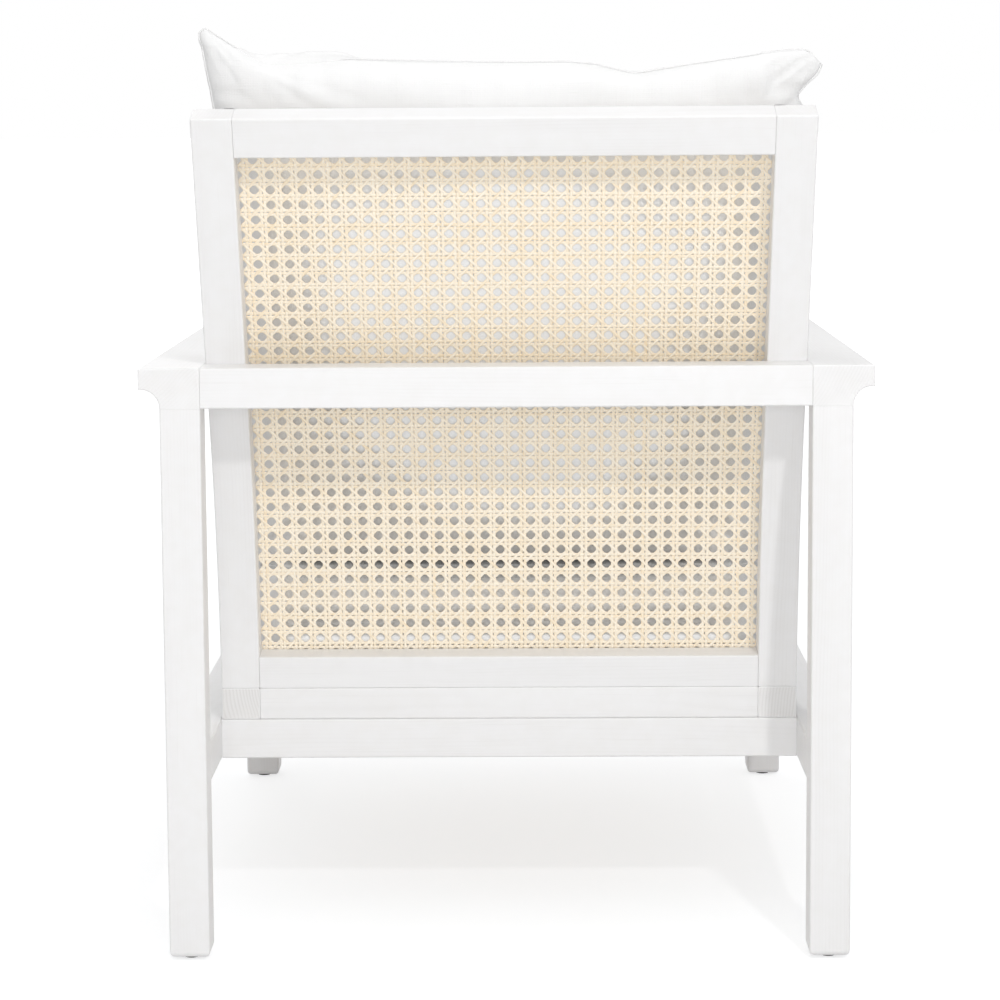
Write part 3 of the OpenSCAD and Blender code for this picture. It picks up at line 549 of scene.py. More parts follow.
def made_once(build):
    """The material of that name if it is there, and otherwise a new one."""
    def get():
        name = build.__name__
        return bpy.data.materials.get(name) or build(name)
    get.__doc__ = build.__doc__
    return get


def set_surface(shader, principled, color, roughness, height, distance, strength=0.6):
    """Feeds a colour, a roughness and a bump of that depth to the Principled shader."""
    bump = shader.add("Bump", {"Height": height, "Distance": distance, "Strength": strength})
    for key, value in (("Base Color", color), ("Roughness", roughness), ("Normal", bump.outputs[0])):
        shader.feed(principled.inputs[key], value)


def timber(name, light, dark, ring, ring_strength, pores, rough, worn, wear, marked=True):
    """A wood finish: grain in the timber's own place, and rubbed edges. A piece whose points aren't marked
    takes its place in the chair."""
    material, n, principled = base_material(name)
    if marked:
        place, edge, end = n.mark("grain", "Vector"), n.mark("edge"), n.mark("end")
    else:
        place, edge, end = n.add("TexCoord").outputs["Object"], 0.0, 0.0
    grain = n.add("Group", {
        "Place": place, "Light": rgba(light), "Dark": rgba(dark), "Ring": ring,
        "Ring Strength": ring_strength, "Pore Strength": pores, "Roughness": rough,
        "End": end}, node_tree=grain_group()).outputs
    rubbed = n.add("Group", {"Place": place, "Color": grain["Color"], "Worn": rgba(worn), "Edge": edge,
                             "Amount": wear}, node_tree=wear_group()).outputs
    set_surface(n, principled, rubbed["Color"], grain["Roughness"], grain["Height"], 0.25 * MM, 0.35)
    principled.inputs["Specular IOR Level"].default_value = 0.4
    return material


@made_once
def whitewash(name):
    """White wash over solid wood."""
    f = sizes("finish")
    return timber(name, f.wash, f.wash_low, 3.3 * MM, 0.12, 0.17, 0.42, (0.80, 0.785, 0.76), 0.3)


@made_once
def bare_beech(name):
    """Unfinished hardwood."""
    f = sizes("finish")
    return timber(name, f.beech, f.beech_low, 3.5 * MM, 0.45, 0.6, 0.6, (0.55, 0.38, 0.22), 0.3)


@made_once
def dowel_beech(name):
    """Unfinished hardwood of the dowels, whose points have no marks."""
    f = sizes("finish")
    return timber(name, f.beech, f.beech_low, 3.5 * MM, 0.45, 0.6, 0.6, f.beech, 0.0, False)


@made_once
def split_cane(name):
    """Glossy skin of split cane: fine lines along each strand, and honey-coloured spots."""
    f = sizes("finish")
    material, n, principled = base_material(name)
    lay, tone = n.mark("lay", "Vector"), n.mark("tone")
    spots = n.ramp(n.stretched(lay, (42.0, 260.0, 7.0), 3.0, 0.6), 0.5, 0.78)
    lines = n.stretched(lay, (30.0, 2600.0, 11.0), rough=0.6)
    fac = n.math("ADD", n.math("MULTIPLY", spots, 0.55), n.math("MULTIPLY", tone, 0.35), clamp=True)
    color = n.blend(fac, rgba(f.cane), rgba(f.cane_low))
    color = n.blend(n.math("MULTIPLY", lines, 0.15), color, (0.80, 0.62, 0.38, 1))
    across = n.math("ABSOLUTE", n.add("SeparateXYZ", {0: lay}).outputs["Y"])
    rim = n.math("MULTIPLY", n.ramp(across, 0.8 * MM, 1.4 * MM), 0.36)
    color = n.blend(rim, color, (0.86, 0.60, 0.34, 1))
    rough = n.math("MULTIPLY_ADD", lines, 0.25, 0.28)
    set_surface(n, principled, color, rough, lines, 0.1 * MM, 0.5)
    principled.inputs["Coat Weight"].default_value = 0.15
    return material


def woven(name, low, high, pitch, slub, contrast, distance):
    """A cloth with an uneven plain weave in its own map."""
    material, n, principled = base_material(name)
    place = n.add("UVMap", uv_map="weave").outputs[0]
    weave = n.add("Group", {"Place": place, "Low": rgba(low), "High": rgba(high), "Pitch": pitch,
                            "Slub": slub, "Contrast": contrast}, node_tree=weave_group()).outputs
    rough = n.math("MULTIPLY_ADD", weave["Height"], -0.08, 0.92)
    set_surface(n, principled, weave["Color"], rough, weave["Height"], distance, 0.8)
    principled.inputs["Sheen Weight"].default_value = 0.25
    principled.inputs["Sheen Roughness"].default_value = 0.5
    principled.inputs["Specular IOR Level"].default_value = 0.2
    return material


@made_once
def slubbed_linen(name):
    """White slubbed cloth of the cushions."""
    f = sizes("finish")
    return woven(name, f.linen_low, f.linen, 1.6 * MM, 0.9, 1.35, 0.25 * MM)


@made_once
def thread(name):
    """Sewing thread and turned edges of the seams."""
    f = sizes("finish")
    return spotted(name, f.linen, f.linen_low, 500.0, 0.85, 0.08 * MM)


@made_once
def zip_cloth(name):
    """Woven tape of the zips."""
    f = sizes("finish")
    return woven(name, f.linen_low, f.linen, 0.8 * MM, 0.2, 1.2, 0.2 * MM)


def spotted(name, light, dark, scale, rough, distance, metallic=0.0):
    """A moulded or metal finish: a fine mottle in colour, gloss and height."""
    material, n, principled = base_material(name)
    place = n.add("TexCoord").outputs["Object"]
    mottle = n.noise(place, scale, 4.0, 0.6)
    smear = n.noise(place, scale / 9, 3.0)
    color = n.blend(n.math("MULTIPLY", n.math("ADD", mottle, smear), 0.5), rgba(light), rgba(dark))
    set_surface(n, principled, color, n.math("MULTIPLY_ADD", mottle, 0.3, rough), mottle, distance, 0.4)
    principled.inputs["Metallic"].default_value = metallic
    return material


@made_once
def zinc(name):
    """Zinc-plated steel of the bolts and screws."""
    return spotted(name, (0.62, 0.63, 0.66), (0.38, 0.38, 0.40), 900.0, 0.25, 0.05 * MM, 1.0)


@made_once
def glide_plastic(name):
    """Dark moulded plastic of the glides."""
    return spotted(name, (0.022, 0.018, 0.015), (0.009, 0.008, 0.007), 1400.0, 0.42, 0.08 * MM)


@made_once
def pad_rubber(name):
    """Dull rubber of the anti-slip pads."""
    return spotted(name, (0.03, 0.03, 0.03), (0.012, 0.012, 0.012), 700.0, 0.7, 0.1 * MM)


# Wooden frame

def arm_section(side):
    """Outline of an arm in z and x, seen from the end: a flat top and underside, an upright outer edge,
    a narrow ledge and a hollow quarter circle down to the leg. Inset, every side moves in by as much, and the
    hollow's radius grows, but the underside stays on the legs."""
    w = sizes("wood")
    low, high = corners_of(f"arm_{side}")
    leg = max(abs(corners_of(f"rear_leg_{side}")[k][0]) for k in (0, 1))
    inner, outer = min(abs(low[0]), abs(high[0])), max(abs(low[0]), abs(high[0]))
    ledge = high[2] - w.arm_edge
    q = np.linspace(0, np.pi / 2, 12)

    def section(inset):
        radius = w.cove + inset
        hollow = np.stack([leg + w.cove - radius * np.sin(q), ledge - w.cove + radius * np.cos(q)], -1)
        round_over = max(w.edge - inset, 0.3 * MM)
        corners = rounded_section(
            [(inner + inset, low[2]), (leg - inset, low[2]), (outer - inset, ledge + inset),
             (outer - inset, high[2] - inset), (inner + inset, high[2] - inset)],
            [LEAST_ROUND, LEAST_ROUND, 0.6 * MM, round_over, round_over])
        x, z = np.concatenate([corners[0], [(leg - inset, low[2])], hollow[::-1],
                               corners[2:].reshape(-1, 2)]).T
        return np.stack([z, SIDES[side] * x], -1)
    return section


class CHAIR_OT_side_frames(bpy.types.Operator):
    """Legs with softly rounded feet, wide arms with a hollow under their outer edge, and low side rails"""
    bl_idname = "chair.side_frames"
    bl_label = "Side Frames"

    def execute(self, context):
        w = sizes("wood")
        for side in SIDES:
            for end in ("rear", "front"):
                straight_member(f"{end}_leg_{side}", "z", w.foot, w.seam)
            straight_member(f"side_rail_{side}", "y", w.seam, w.seam)
            low, high = corners_of(f"arm_{side}")
            timber_piece(f"arm_{side}", arm_section(side), *stations(low[1], high[1], w.tip, w.tip),
                         straight_place("y", np.zeros(3)), end_tone=0.15)
        return {"FINISHED"}


class CHAIR_OT_cross_rails(bpy.types.Operator):
    """Aprons under the seat frame, and the cross rail between the arms, whose front follows the back"""
    bl_idname = "chair.cross_rails"
    bl_label = "Cross Rails"

    def execute(self, context):
        w, b = sizes("wood"), sizes("back")
        for end in ("rear", "front"):
            straight_member(f"{end}_apron", "x", w.seam, w.seam)
        low, high = corners_of("arm_cross_rail")
        end = bend_frame()[1]
        lean = [end[0] + (z - end[1]) * math.tan(b.rake) for z in (low[2], high[2])]
        corners = [(lean[0], low[2]), (high[1], low[2]), (high[1], high[2]), (lean[1], high[2])]
        outline = outline_of(corners, [0.6 * MM, w.edge, w.edge, 0.6 * MM])
        timber_piece("arm_cross_rail", outline, *stations(low[0], high[0], w.seam, w.seam),
                     straight_place("x", np.zeros(3)))
        return {"FINISHED"}


class CHAIR_OT_seat_frame(bpy.types.Operator):
    """Seat rails, the cleats and corner blocks inside them, and the slats"""
    bl_idname = "chair.seat_frame"
    bl_label = "Seat Frame"

    def execute(self, context):
        w = sizes("wood")
        for side in SIDES:
            straight_member(f"seat_rail_{side}", "y", 0.6 * MM, w.tip, end_tone=1.0, turned=True)
            straight_member(f"cleat_{side}", "y", 1 * MM, 1 * MM, "plain_wood", 1.2 * MM)
            for end in ("rear", "front"):
                self.corner_block(f"corner_block_{end}_{side}", SIDES[side], 1 if end == "rear" else -1)
        for end in ("rear", "front"):
            straight_member(f"seat_rail_{end}", "x", w.seam, w.seam)
        for k in range(SLATS):
            straight_member(f"seat_slat_{k + 1}", "x", 1 * MM, 1 * MM, "plain_wood", 2.5 * MM)
        return {"FINISHED"}

    def corner_block(self, node, side, end):
        """A triangular block: its right angle stands in the corner, and its long edge is rounded over."""
        low, high = corners_of(node)
        x = high[0] if side > 0 else low[0]
        y = high[1] if end > 0 else low[1]
        leg = high[0] - low[0]
        corners = [(x, y), (x - side * leg, y), (x, y - end * leg)]
        outline = outline_of(corners, [0.6 * MM, 1.5 * MM, 1.5 * MM])
        timber_piece(node, outline, *stations(low[2], high[2], 1 * MM, 1 * MM),
                     straight_place("z", np.zeros(3)), "plain_wood")


class CHAIR_OT_back_frame(bpy.types.Operator):
    """Bent stiles and the two rails between them, with a rebate for the panel in their front"""
    bl_idname = "chair.back_frame"
    bl_label = "Back Frame"

    def execute(self, context):
        for side in SIDES:
            self.stile(side)
        b = sizes("back")
        top = back_length()
        self.rail("back_top_rail", top - b.top_rail, top, top - b.top_rail + b.rebate, 1)
        self.rail("back_bottom_rail", 0.0, b.bottom_rail, b.bottom_rail - b.rebate, -1)
        return {"FINISHED"}

    def stile(self, side):
        """A section in x and t carried up the back. The rebate starts and ends at sharp steps."""
        w, b = sizes("wood"), sizes("back")
        inner = corners_of("back_top_rail")[1][0]
        outer = inner + b.stile
        top = back_length()
        notch = np.array([b.bottom_rail - b.rebate, top - b.top_rail + b.rebate])
        step = 0.02 * MM
        q = np.linspace(np.pi / 2, 0, 5)
        bend = np.linspace(FOOT_RUN, bend_frame()[2], 26)
        along = np.concatenate([[0, w.seam], bend, notch + step, notch - step, [top - b.top_rail],
                                top - w.tip * (1 - np.cos(q))])
        inset = np.concatenate([[w.seam, 0], 0 * bend, [0] * 5, w.tip * (1 - np.sin(q))])
        order = np.argsort(along, kind="stable")
        along, inset = along[order], inset[order]
        sharp = 0.004 * MM
        radii = [w.edge, w.edge, sharp, sharp, sharp, w.edge]
        rows = []
        for s, i in zip(along, inset):
            cut = b.thick - (b.rebate_deep if notch[0] < s < notch[1] else 0.01 * MM)
            corners = [(outer, 0), (outer, b.thick), (inner + b.rebate, b.thick), (inner + b.rebate, cut),
                       (inner, cut), (inner, 0)]
            rows.append(outline_of(corners, radii)(i))
        rings = iter(rows)

        def place(s, x, t):
            return back_place(s + back_foot(t) * foot_share(s), SIDES[side] * x, t)
        timber_piece(f"back_stile_{side}", lambda _: next(rings), along, inset, place)

    def rail(self, node, low, high, lip, free):
        """A section in s and t carried across. free is the edge that the panel doesn't touch: 1 for the upper
        one, -1 for the lower."""
        w, b = sizes("wood"), sizes("back")
        half = corners_of(node)[1][0]
        deep = b.thick - b.rebate_deep
        step = 0.3 * MM
        if free > 0:
            corners = [(low, 0), (low, deep), (lip, deep), (lip, b.thick), (high, b.thick), (high, 0)]
            radii = [w.edge, step, step, step, w.edge, w.edge]
        else:
            corners = [(low, 0), (low, b.thick), (lip, b.thick), (lip, deep), (high, deep), (high, 0)]
            radii = [w.seam, w.seam, step, step, step, w.edge]

        def place(x, s, t):
            share = foot_share(s) if free < 0 else 0
            return back_place(s + back_foot(t) * share, x, t)
        timber_piece(node, outline_of(corners, radii), *stations(-half, half, w.seam, w.seam), place)


# Cane

def strands(name, s, x, t, wide, thick, inside, tone, along):
    """Flat six-sided strands. s, x and t (strands, samples) are their middle lines on the back. The section
    lies across the line in the plane of the back: half the width and half the thickness each way.
    Samples that aren't inside are left out, and each run of samples is closed at both ends."""
    run = np.stack([np.gradient(s, axis=1), np.gradient(x, axis=1)])
    run /= np.linalg.norm(run, axis=0)
    flat = 0.62
    u = np.array([-1, -flat, flat, 1, flat, -flat]) * (wide[:, None, None] / 2)
    v = np.array([0, 1, 1, 0, -1, -1]) * thick / 2
    run_s, run_x = run[..., None]
    points = back_place(s[..., None] + u * run_x, x[..., None] - u * run_s, t[..., None] + v)
    k, m = s.shape
    number = np.full(k * m, -1)
    keep = inside.ravel()
    number[keep] = np.arange(keep.sum())
    number = number.reshape(k, m)
    corner = np.arange(6)
    both = inside[:, :-1] & inside[:, 1:]
    low, high = number[:, :-1][both][:, None] * 6, number[:, 1:][both][:, None] * 6
    turn = (corner + 1) % 6
    walls = np.stack([low + corner, low + turn, high + turn, high + corner], -1).reshape(-1, 4)
    first = inside & ~np.pad(inside, ((0, 0), (1, 0)))[:, :-1]
    last = inside & ~np.pad(inside, ((0, 0), (0, 1)))[:, 1:]
    starts = number[first][:, None] * 6 + corner[::-1]
    ends = number[last][:, None] * 6 + corner
    kept = points.reshape(-1, 6, 3)[keep].reshape(-1, 3)
    lay = np.stack(np.broadcast_arrays(along[..., None], u, np.arange(k)[:, None, None] * 1.0), -1)
    lay = lay.reshape(-1, 6, 3)[keep].reshape(-1, 3)
    shade = np.repeat(np.broadcast_to(tone[:, None], (k, m)).ravel()[keep], 6)
    return new_piece(name, kept, outward(kept, [walls, starts, ends]), {"lay": lay, "tone": shade},
                     math.radians(75))


class CHAIR_OT_cane_panel(bpy.types.Operator):
    """Woven cane: upright and level pairs in a plain weave, and two slanting sets that pass between them"""
    bl_idname = "chair.cane_panel"
    bl_label = "Cane Panel"

    def execute(self, context):
        b = sizes("back")
        self.gap = 0.3 * MM
        self.low = b.bottom_rail - b.rebate + self.gap
        self.high = back_length() - b.top_rail + b.rebate - self.gap
        self.half = corners_of("back_top_rail")[1][0] + b.rebate - self.gap
        self.mid, self.tall = (self.low + self.high) / 2, (self.high - self.low) / 2
        self.deep = b.thick - b.rebate_deep + 1.2 * MM
        self.rng = np.random.default_rng(11)
        pieces = [self.straight("cane_uprights", True), self.straight("cane_levels", False),
                  self.slanting("cane_slants_rising", 1), self.slanting("cane_slants_falling", -1)]
        for piece in pieces:
            finish_piece(piece, split_cane(), "cane", "frame", "cane_panel")
        self.splines()
        return {"FINISHED"}

    def looks(self, count, width):
        """Uneven widths and tones for a set of strands."""
        return width * self.rng.uniform(0.9, 1.08, count), self.rng.uniform(0, 1, count) ** 2

    def straight(self, name, upright):
        """Pairs of strands. Near a crossing at q from the middle of the other pair, a strand dips and rises
        as sin(pi q / 2 d) times a third of a millimetre, d being half the pair's spacing, and its partner
        does the reverse."""
        c = sizes("cane")
        across, run = (self.half, self.tall) if upright else (self.tall, self.half)
        n = int(across / c.pitch)
        middle = np.arange(-n, n + 1) * c.pitch
        place = np.stack([middle - c.pair, middle + c.pair], 1).ravel()
        sign = np.tile([-1.0, 1.0], len(middle)) * (1 if upright else -1)
        m = int(run / c.pitch) + 1
        knots = (np.arange(-m, m + 1)[:, None] * c.pitch + np.arange(-2, 3) * c.pair).ravel()
        knots = np.append(np.insert(knots[np.abs(knots) < run], 0, -run), run)
        q = (knots + c.pitch / 2) % c.pitch - c.pitch / 2
        wave = np.where(np.abs(q) < 2 * c.pair, np.sin(np.pi * q / (2 * c.pair)), 0)
        lift = sign[:, None] * wave[None] * 0.3 * MM
        wide, tone = self.looks(len(place), c.strand)
        bow = self.rng.normal(0, 0.07 * MM, (len(place), 1))
        turns, phase = self.rng.uniform(15, 40, (len(place), 1)), self.rng.uniform(0, 6, (len(place), 1))
        side = place[:, None] + (bow + 0.12 * MM * np.sin(knots[None] * turns + phase))
        line = np.broadcast_to(knots, side.shape)
        s, x = (line + self.mid, side) if upright else (side + self.mid, line)
        inside = np.ones(s.shape, bool)
        return strands(name, s, x, self.deep + lift, wide, c.thick, inside, tone, line)

    def slanting(self, name, sign):
        """Single strands along s - mid = sign x + (k + 1/2) pitch. They pass under the uprights and over the
        levels, or the reverse: their height goes as cos(2 pi x / pitch)."""
        c = sizes("cane")
        reach = int((self.half + self.tall) / c.pitch) + 1
        offset = (np.arange(-reach, reach) + 0.5) * c.pitch
        n = int(self.half / c.pitch * 4)
        x = np.append(np.insert(np.arange(-n, n + 1) * c.pitch / 4, 0, -self.half), self.half)
        line = np.broadcast_to(x, (len(offset), len(x)))
        s = self.mid + sign * line + offset[:, None]
        wide, tone = self.looks(len(offset), c.slant)
        lift = -sign * 0.5 * MM * np.cos(2 * np.pi * line / c.pitch)
        inside = (s > self.low) & (s < self.high)
        return strands(name, s, line, self.deep + lift, wide, c.thick, inside, tone, line * math.sqrt(2))

    def splines(self):
        """Half-round reeds that hold the edge of the panel down in the rebate."""
        b = sizes("back")
        wide, thick = 5 * MM, 1.1 * MM
        t = b.thick - b.rebate_deep + 2.4 * MM
        inner = self.half - wide
        for side, sign in SIDES.items():
            self.reed(f"spline_{side}", inner, wide, t, thick, np.linspace(self.low, self.high, 48),
                      lambda s, x, t, sign=sign: back_place(s, sign * x, t))
        edge = inner - self.gap
        for end, low in (("top", self.high - wide), ("bottom", self.low)):
            self.reed(f"spline_{end}", low, wide, t, thick, np.linspace(-edge, edge, 40),
                      lambda x, s, t: back_place(s, x, t))

    def reed(self, node, low, wide, t, thick, along, place):
        """One spline: a section that is rounded in front, carried along the rebate."""
        corners = [(low, t), (low + wide, t), (low + wide, t + thick), (low, t + thick)]
        radii = [0.1 * MM, 0.1 * MM, 0.95 * MM, 0.95 * MM]
        obj = sweep(node + "_reed", outline_of(corners, radii), along, np.zeros(len(along)), place)
        ring = len(obj.data.vertices) // len(along)
        lay = np.zeros((len(along), ring, 3))
        lay[..., 0] = along[:, None]
        lay[..., 1] = np.linspace(0, 0.012, ring)[None]
        tone = np.full(len(along) * ring, 0.35)
        obj.data.attributes.new("lay", "FLOAT_VECTOR", "POINT").data.foreach_set("vector", lay.ravel())
        obj.data.attributes.new("tone", "FLOAT", "POINT").data.foreach_set("value", tone)
        finish_piece(obj, split_cane(), "cane", "frame", node)


# Small parts

def revolved(name, profile, centre, turns=40):
    """A solid of revolution: the profile's radius and height carried round an upright axis, ends closed."""
    r, z = np.asarray(profile, float).T
    points = round_axis(r, z, turns) + centre
    return new_piece(name, points, outward(points, capped_faces(len(r), turns)), sharp=math.radians(40))


class CHAIR_OT_glides(bpy.types.Operator):
    """Round glides under the feet, with a rolled rim, and ribbed anti-slip pads on the slats"""
    bl_idname = "chair.glides"
    bl_label = "Glides and Pads"

    def execute(self, context):
        q = np.linspace(0, np.pi / 2, 7)
        roll, stem = 1.2 * MM, 2 * MM
        for end in ("rear", "front"):
            for side in SIDES:
                node = f"glide_{end}_{side}"
                low, high = corners_of(node)
                radius, mid = (high[0] - low[0]) / 2, (low + high) / 2
                rim = np.stack([radius - roll + roll * np.sin(q), roll - roll * np.cos(q)], -1)
                profile = np.concatenate([[(1.5 * MM, 0.4 * MM), (3 * MM, 0.4 * MM), (3.6 * MM, 0)], rim,
                                          [(radius, 2.6 * MM), (radius - 0.4 * MM, 3 * MM), (stem, 3 * MM),
                                           (stem, high[2] - 3 * MM), (0.3 * MM, high[2])]])
                obj = revolved(node + "_disc", profile, (mid[0], mid[1], 0))
                finish_piece(obj, glide_plastic(), "glide", "frame", node)
        self.pads()
        return {"FINISHED"}

    def pads(self):
        """Four pads: the top is a sheet whose ribs are half waves, joined to a flat underside by walls."""
        low, high = corners_of("anti_slip_pads")
        slats = [corners_of(f"seat_slat_{k}") for k in (2, SLATS - 1)]
        n, m = 61, 13
        half, rib, count = 25 * MM, 0.5 * MM, 12
        points, faces = [], []
        u, v = np.meshgrid(np.linspace(-half, half, n), np.linspace(-half, half, m), indexing="ij")
        rim = np.maximum(np.abs(u), np.abs(v)) > half - rib
        thick = high[2] - low[2]
        ribs = thick - rib + rib * np.abs(np.sin(u / half * count * np.pi / 2))
        ribs = np.where(rim, 0.6 * thick, ribs)
        for slat in slats:
            y = (slat[0][1] + slat[1][1]) / 2
            for x in (low[0] + half, high[0] - half):
                start = sum(map(len, points))
                for z in (low[2] + ribs, np.full_like(u, low[2])):
                    points.append(np.stack([u + x, v + y, z], -1).reshape(-1, 3))
                faces += [f + start for f in slab_faces(n, m)]
        points = np.concatenate(points)
        obj = new_piece("anti_slip_pads_ribbed", points, outward(points, faces))
        finish_piece(obj, pad_rubber(), "pad_rubber", "frame", "anti_slip_pads")


class CHAIR_OT_fasteners(bpy.types.Operator):
    """Finishes of the dowels, bolts and screws, whose shapes are those of the frame"""
    bl_idname = "chair.fasteners"
    bl_label = "Fasteners"

    def execute(self, context):
        kinds = {dowel_beech: ("side_frame_dowels", "cross_dowels", "seat_frame_dowels", "back_frame_dowels"),
                 zinc: ("seat_bolts", "back_bolts", "slat_screws")}
        for finish, nodes in kinds.items():
            for node in nodes:
                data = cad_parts[node].data
                data.materials.clear()
                data.materials.append(finish())
        return {"FINISHED"}


# Cushions

def ripples(place, seed, count, low, high):
    """Smooth seeded noise between about -1 and 1: a sum of plane sine waves of random direction and phase,
    with wavelengths from low to high."""
    rng = np.random.default_rng(seed)
    angle, phase = rng.uniform(0, 2 * np.pi, (2, count))
    wave = 2 * np.pi / rng.uniform(low, high, count)
    u = place[..., :1] * np.cos(angle) + place[..., 1:2] * np.sin(angle)
    return np.sin(u * wave + phase).sum(-1) / math.sqrt(count)


def read_points(obj, kind=float):
    """The points of a mesh (n, 3)."""
    out = np.empty(len(obj.data.vertices) * 3, kind)
    obj.data.vertices.foreach_get("co", out)
    return out.reshape(-1, 3)


def plump(obj, pinned, cap, pressure):
    """Blows the cloth of a mesh up from inside for twenty frames, and returns its new points. Pinned points
    stay, and no point moves further than cap."""
    rest = read_points(obj, np.float32)
    pins = obj.vertex_groups.new(name="seam")
    pins.add(np.flatnonzero(pinned).tolist(), 1.0, "REPLACE")
    cloth = obj.modifiers.new("Cloth", "CLOTH")
    values = {"quality": 6, "mass": 0.3, "tension_stiffness": 15, "compression_stiffness": 15,
              "shear_stiffness": 5, "bending_stiffness": 0.6, "use_pressure": True,
              "uniform_pressure_force": pressure, "vertex_group_mass": "seam"}
    for key, value in values.items():
        setattr(cloth.settings, key, value)
    cloth.settings.effector_weights.gravity = 0
    frames = 20
    cloth.point_cache.frame_start, cloth.point_cache.frame_end = 1, frames
    scene = bpy.context.scene
    for step in range(1, frames + 1):
        scene.frame_set(step)
    blown = read_points(obj.evaluated_get(bpy.context.evaluated_depsgraph_get()), np.float32)
    obj.modifiers.clear()
    obj.vertex_groups.clear()
    scene.frame_set(1)
    move = blown - rest
    far = np.linalg.norm(move, axis=1, keepdims=True)
    return rest + move * (cap * np.tanh(far / cap) / np.maximum(far, 1e-9))


def set_points(obj, points):
    """Moves the points of a mesh."""
    obj.data.vertices.foreach_set("co", np.asarray(points, np.float32).ravel())
    obj.data.update()


def point_normals(obj):
    """The normals at the points of a mesh."""
    out = np.empty(len(obj.data.vertices) * 3, np.float32)
    obj.data.vertex_normals.foreach_get("vector", out)
    return out.reshape(-1, 3)


def map_cloth(obj, place):
    """Lays the weave on a cushion: place (points, 2) in metres, taken by each corner of each face."""
    corner = np.empty(len(obj.data.loops), np.int32)
    obj.data.loops.foreach_get("vertex_index", corner)
    layer = obj.data.uv_layers.new(name="weave")
    layer.data.foreach_set("uv", np.asarray(place, np.float32)[corner].ravel())


def sewn_seam(name, path, body, sides=8):
    """A thin round welt along a closed path (n, 3): a circle across the path's run, set from the run and one
    fixed direction that isn't along it."""
    radius = sizes("cushion").welt
    run = np.roll(path, -1, 0) - np.roll(path, 1, 0)
    run /= np.linalg.norm(run, axis=1, keepdims=True)
    aside = np.cross(run, np.array([0.13, 0.41, 0.9]))
    aside /= np.linalg.norm(aside, axis=1, keepdims=True)
    up = np.cross(run, aside)
    q = np.arange(sides) * 2 * np.pi / sides
    circle = np.cos(q)[None, :, None] * aside[:, None] + np.sin(q)[None, :, None] * up[:, None]
    points = (path[:, None] + radius * circle).reshape(-1, 3)
    faces = [ring_faces(len(path) + 1, sides) % len(points)]
    obj = new_piece(name, points, outward(points, faces), sharp=math.radians(80))
    far = np.concatenate([[0], np.cumsum(np.linalg.norm(np.diff(path, axis=0), axis=1))])
    map_cloth(obj, np.stack([np.repeat(far, sides), np.tile(q * radius, len(path))], -1))
    finish_piece(obj, thread(), "cushion_fabric", body)


def dress(obj, place, body, *nodes):
    """Lays the weave on a cushion's cloth, smooths it, and finishes the piece."""
    map_cloth(obj, place)
    smooth = obj.modifiers.new("Smooth Cloth", "SUBSURF")
    smooth.levels = smooth.render_levels = 1
    finish_piece(obj, slubbed_linen(), "cushion_fabric", body, *nodes)


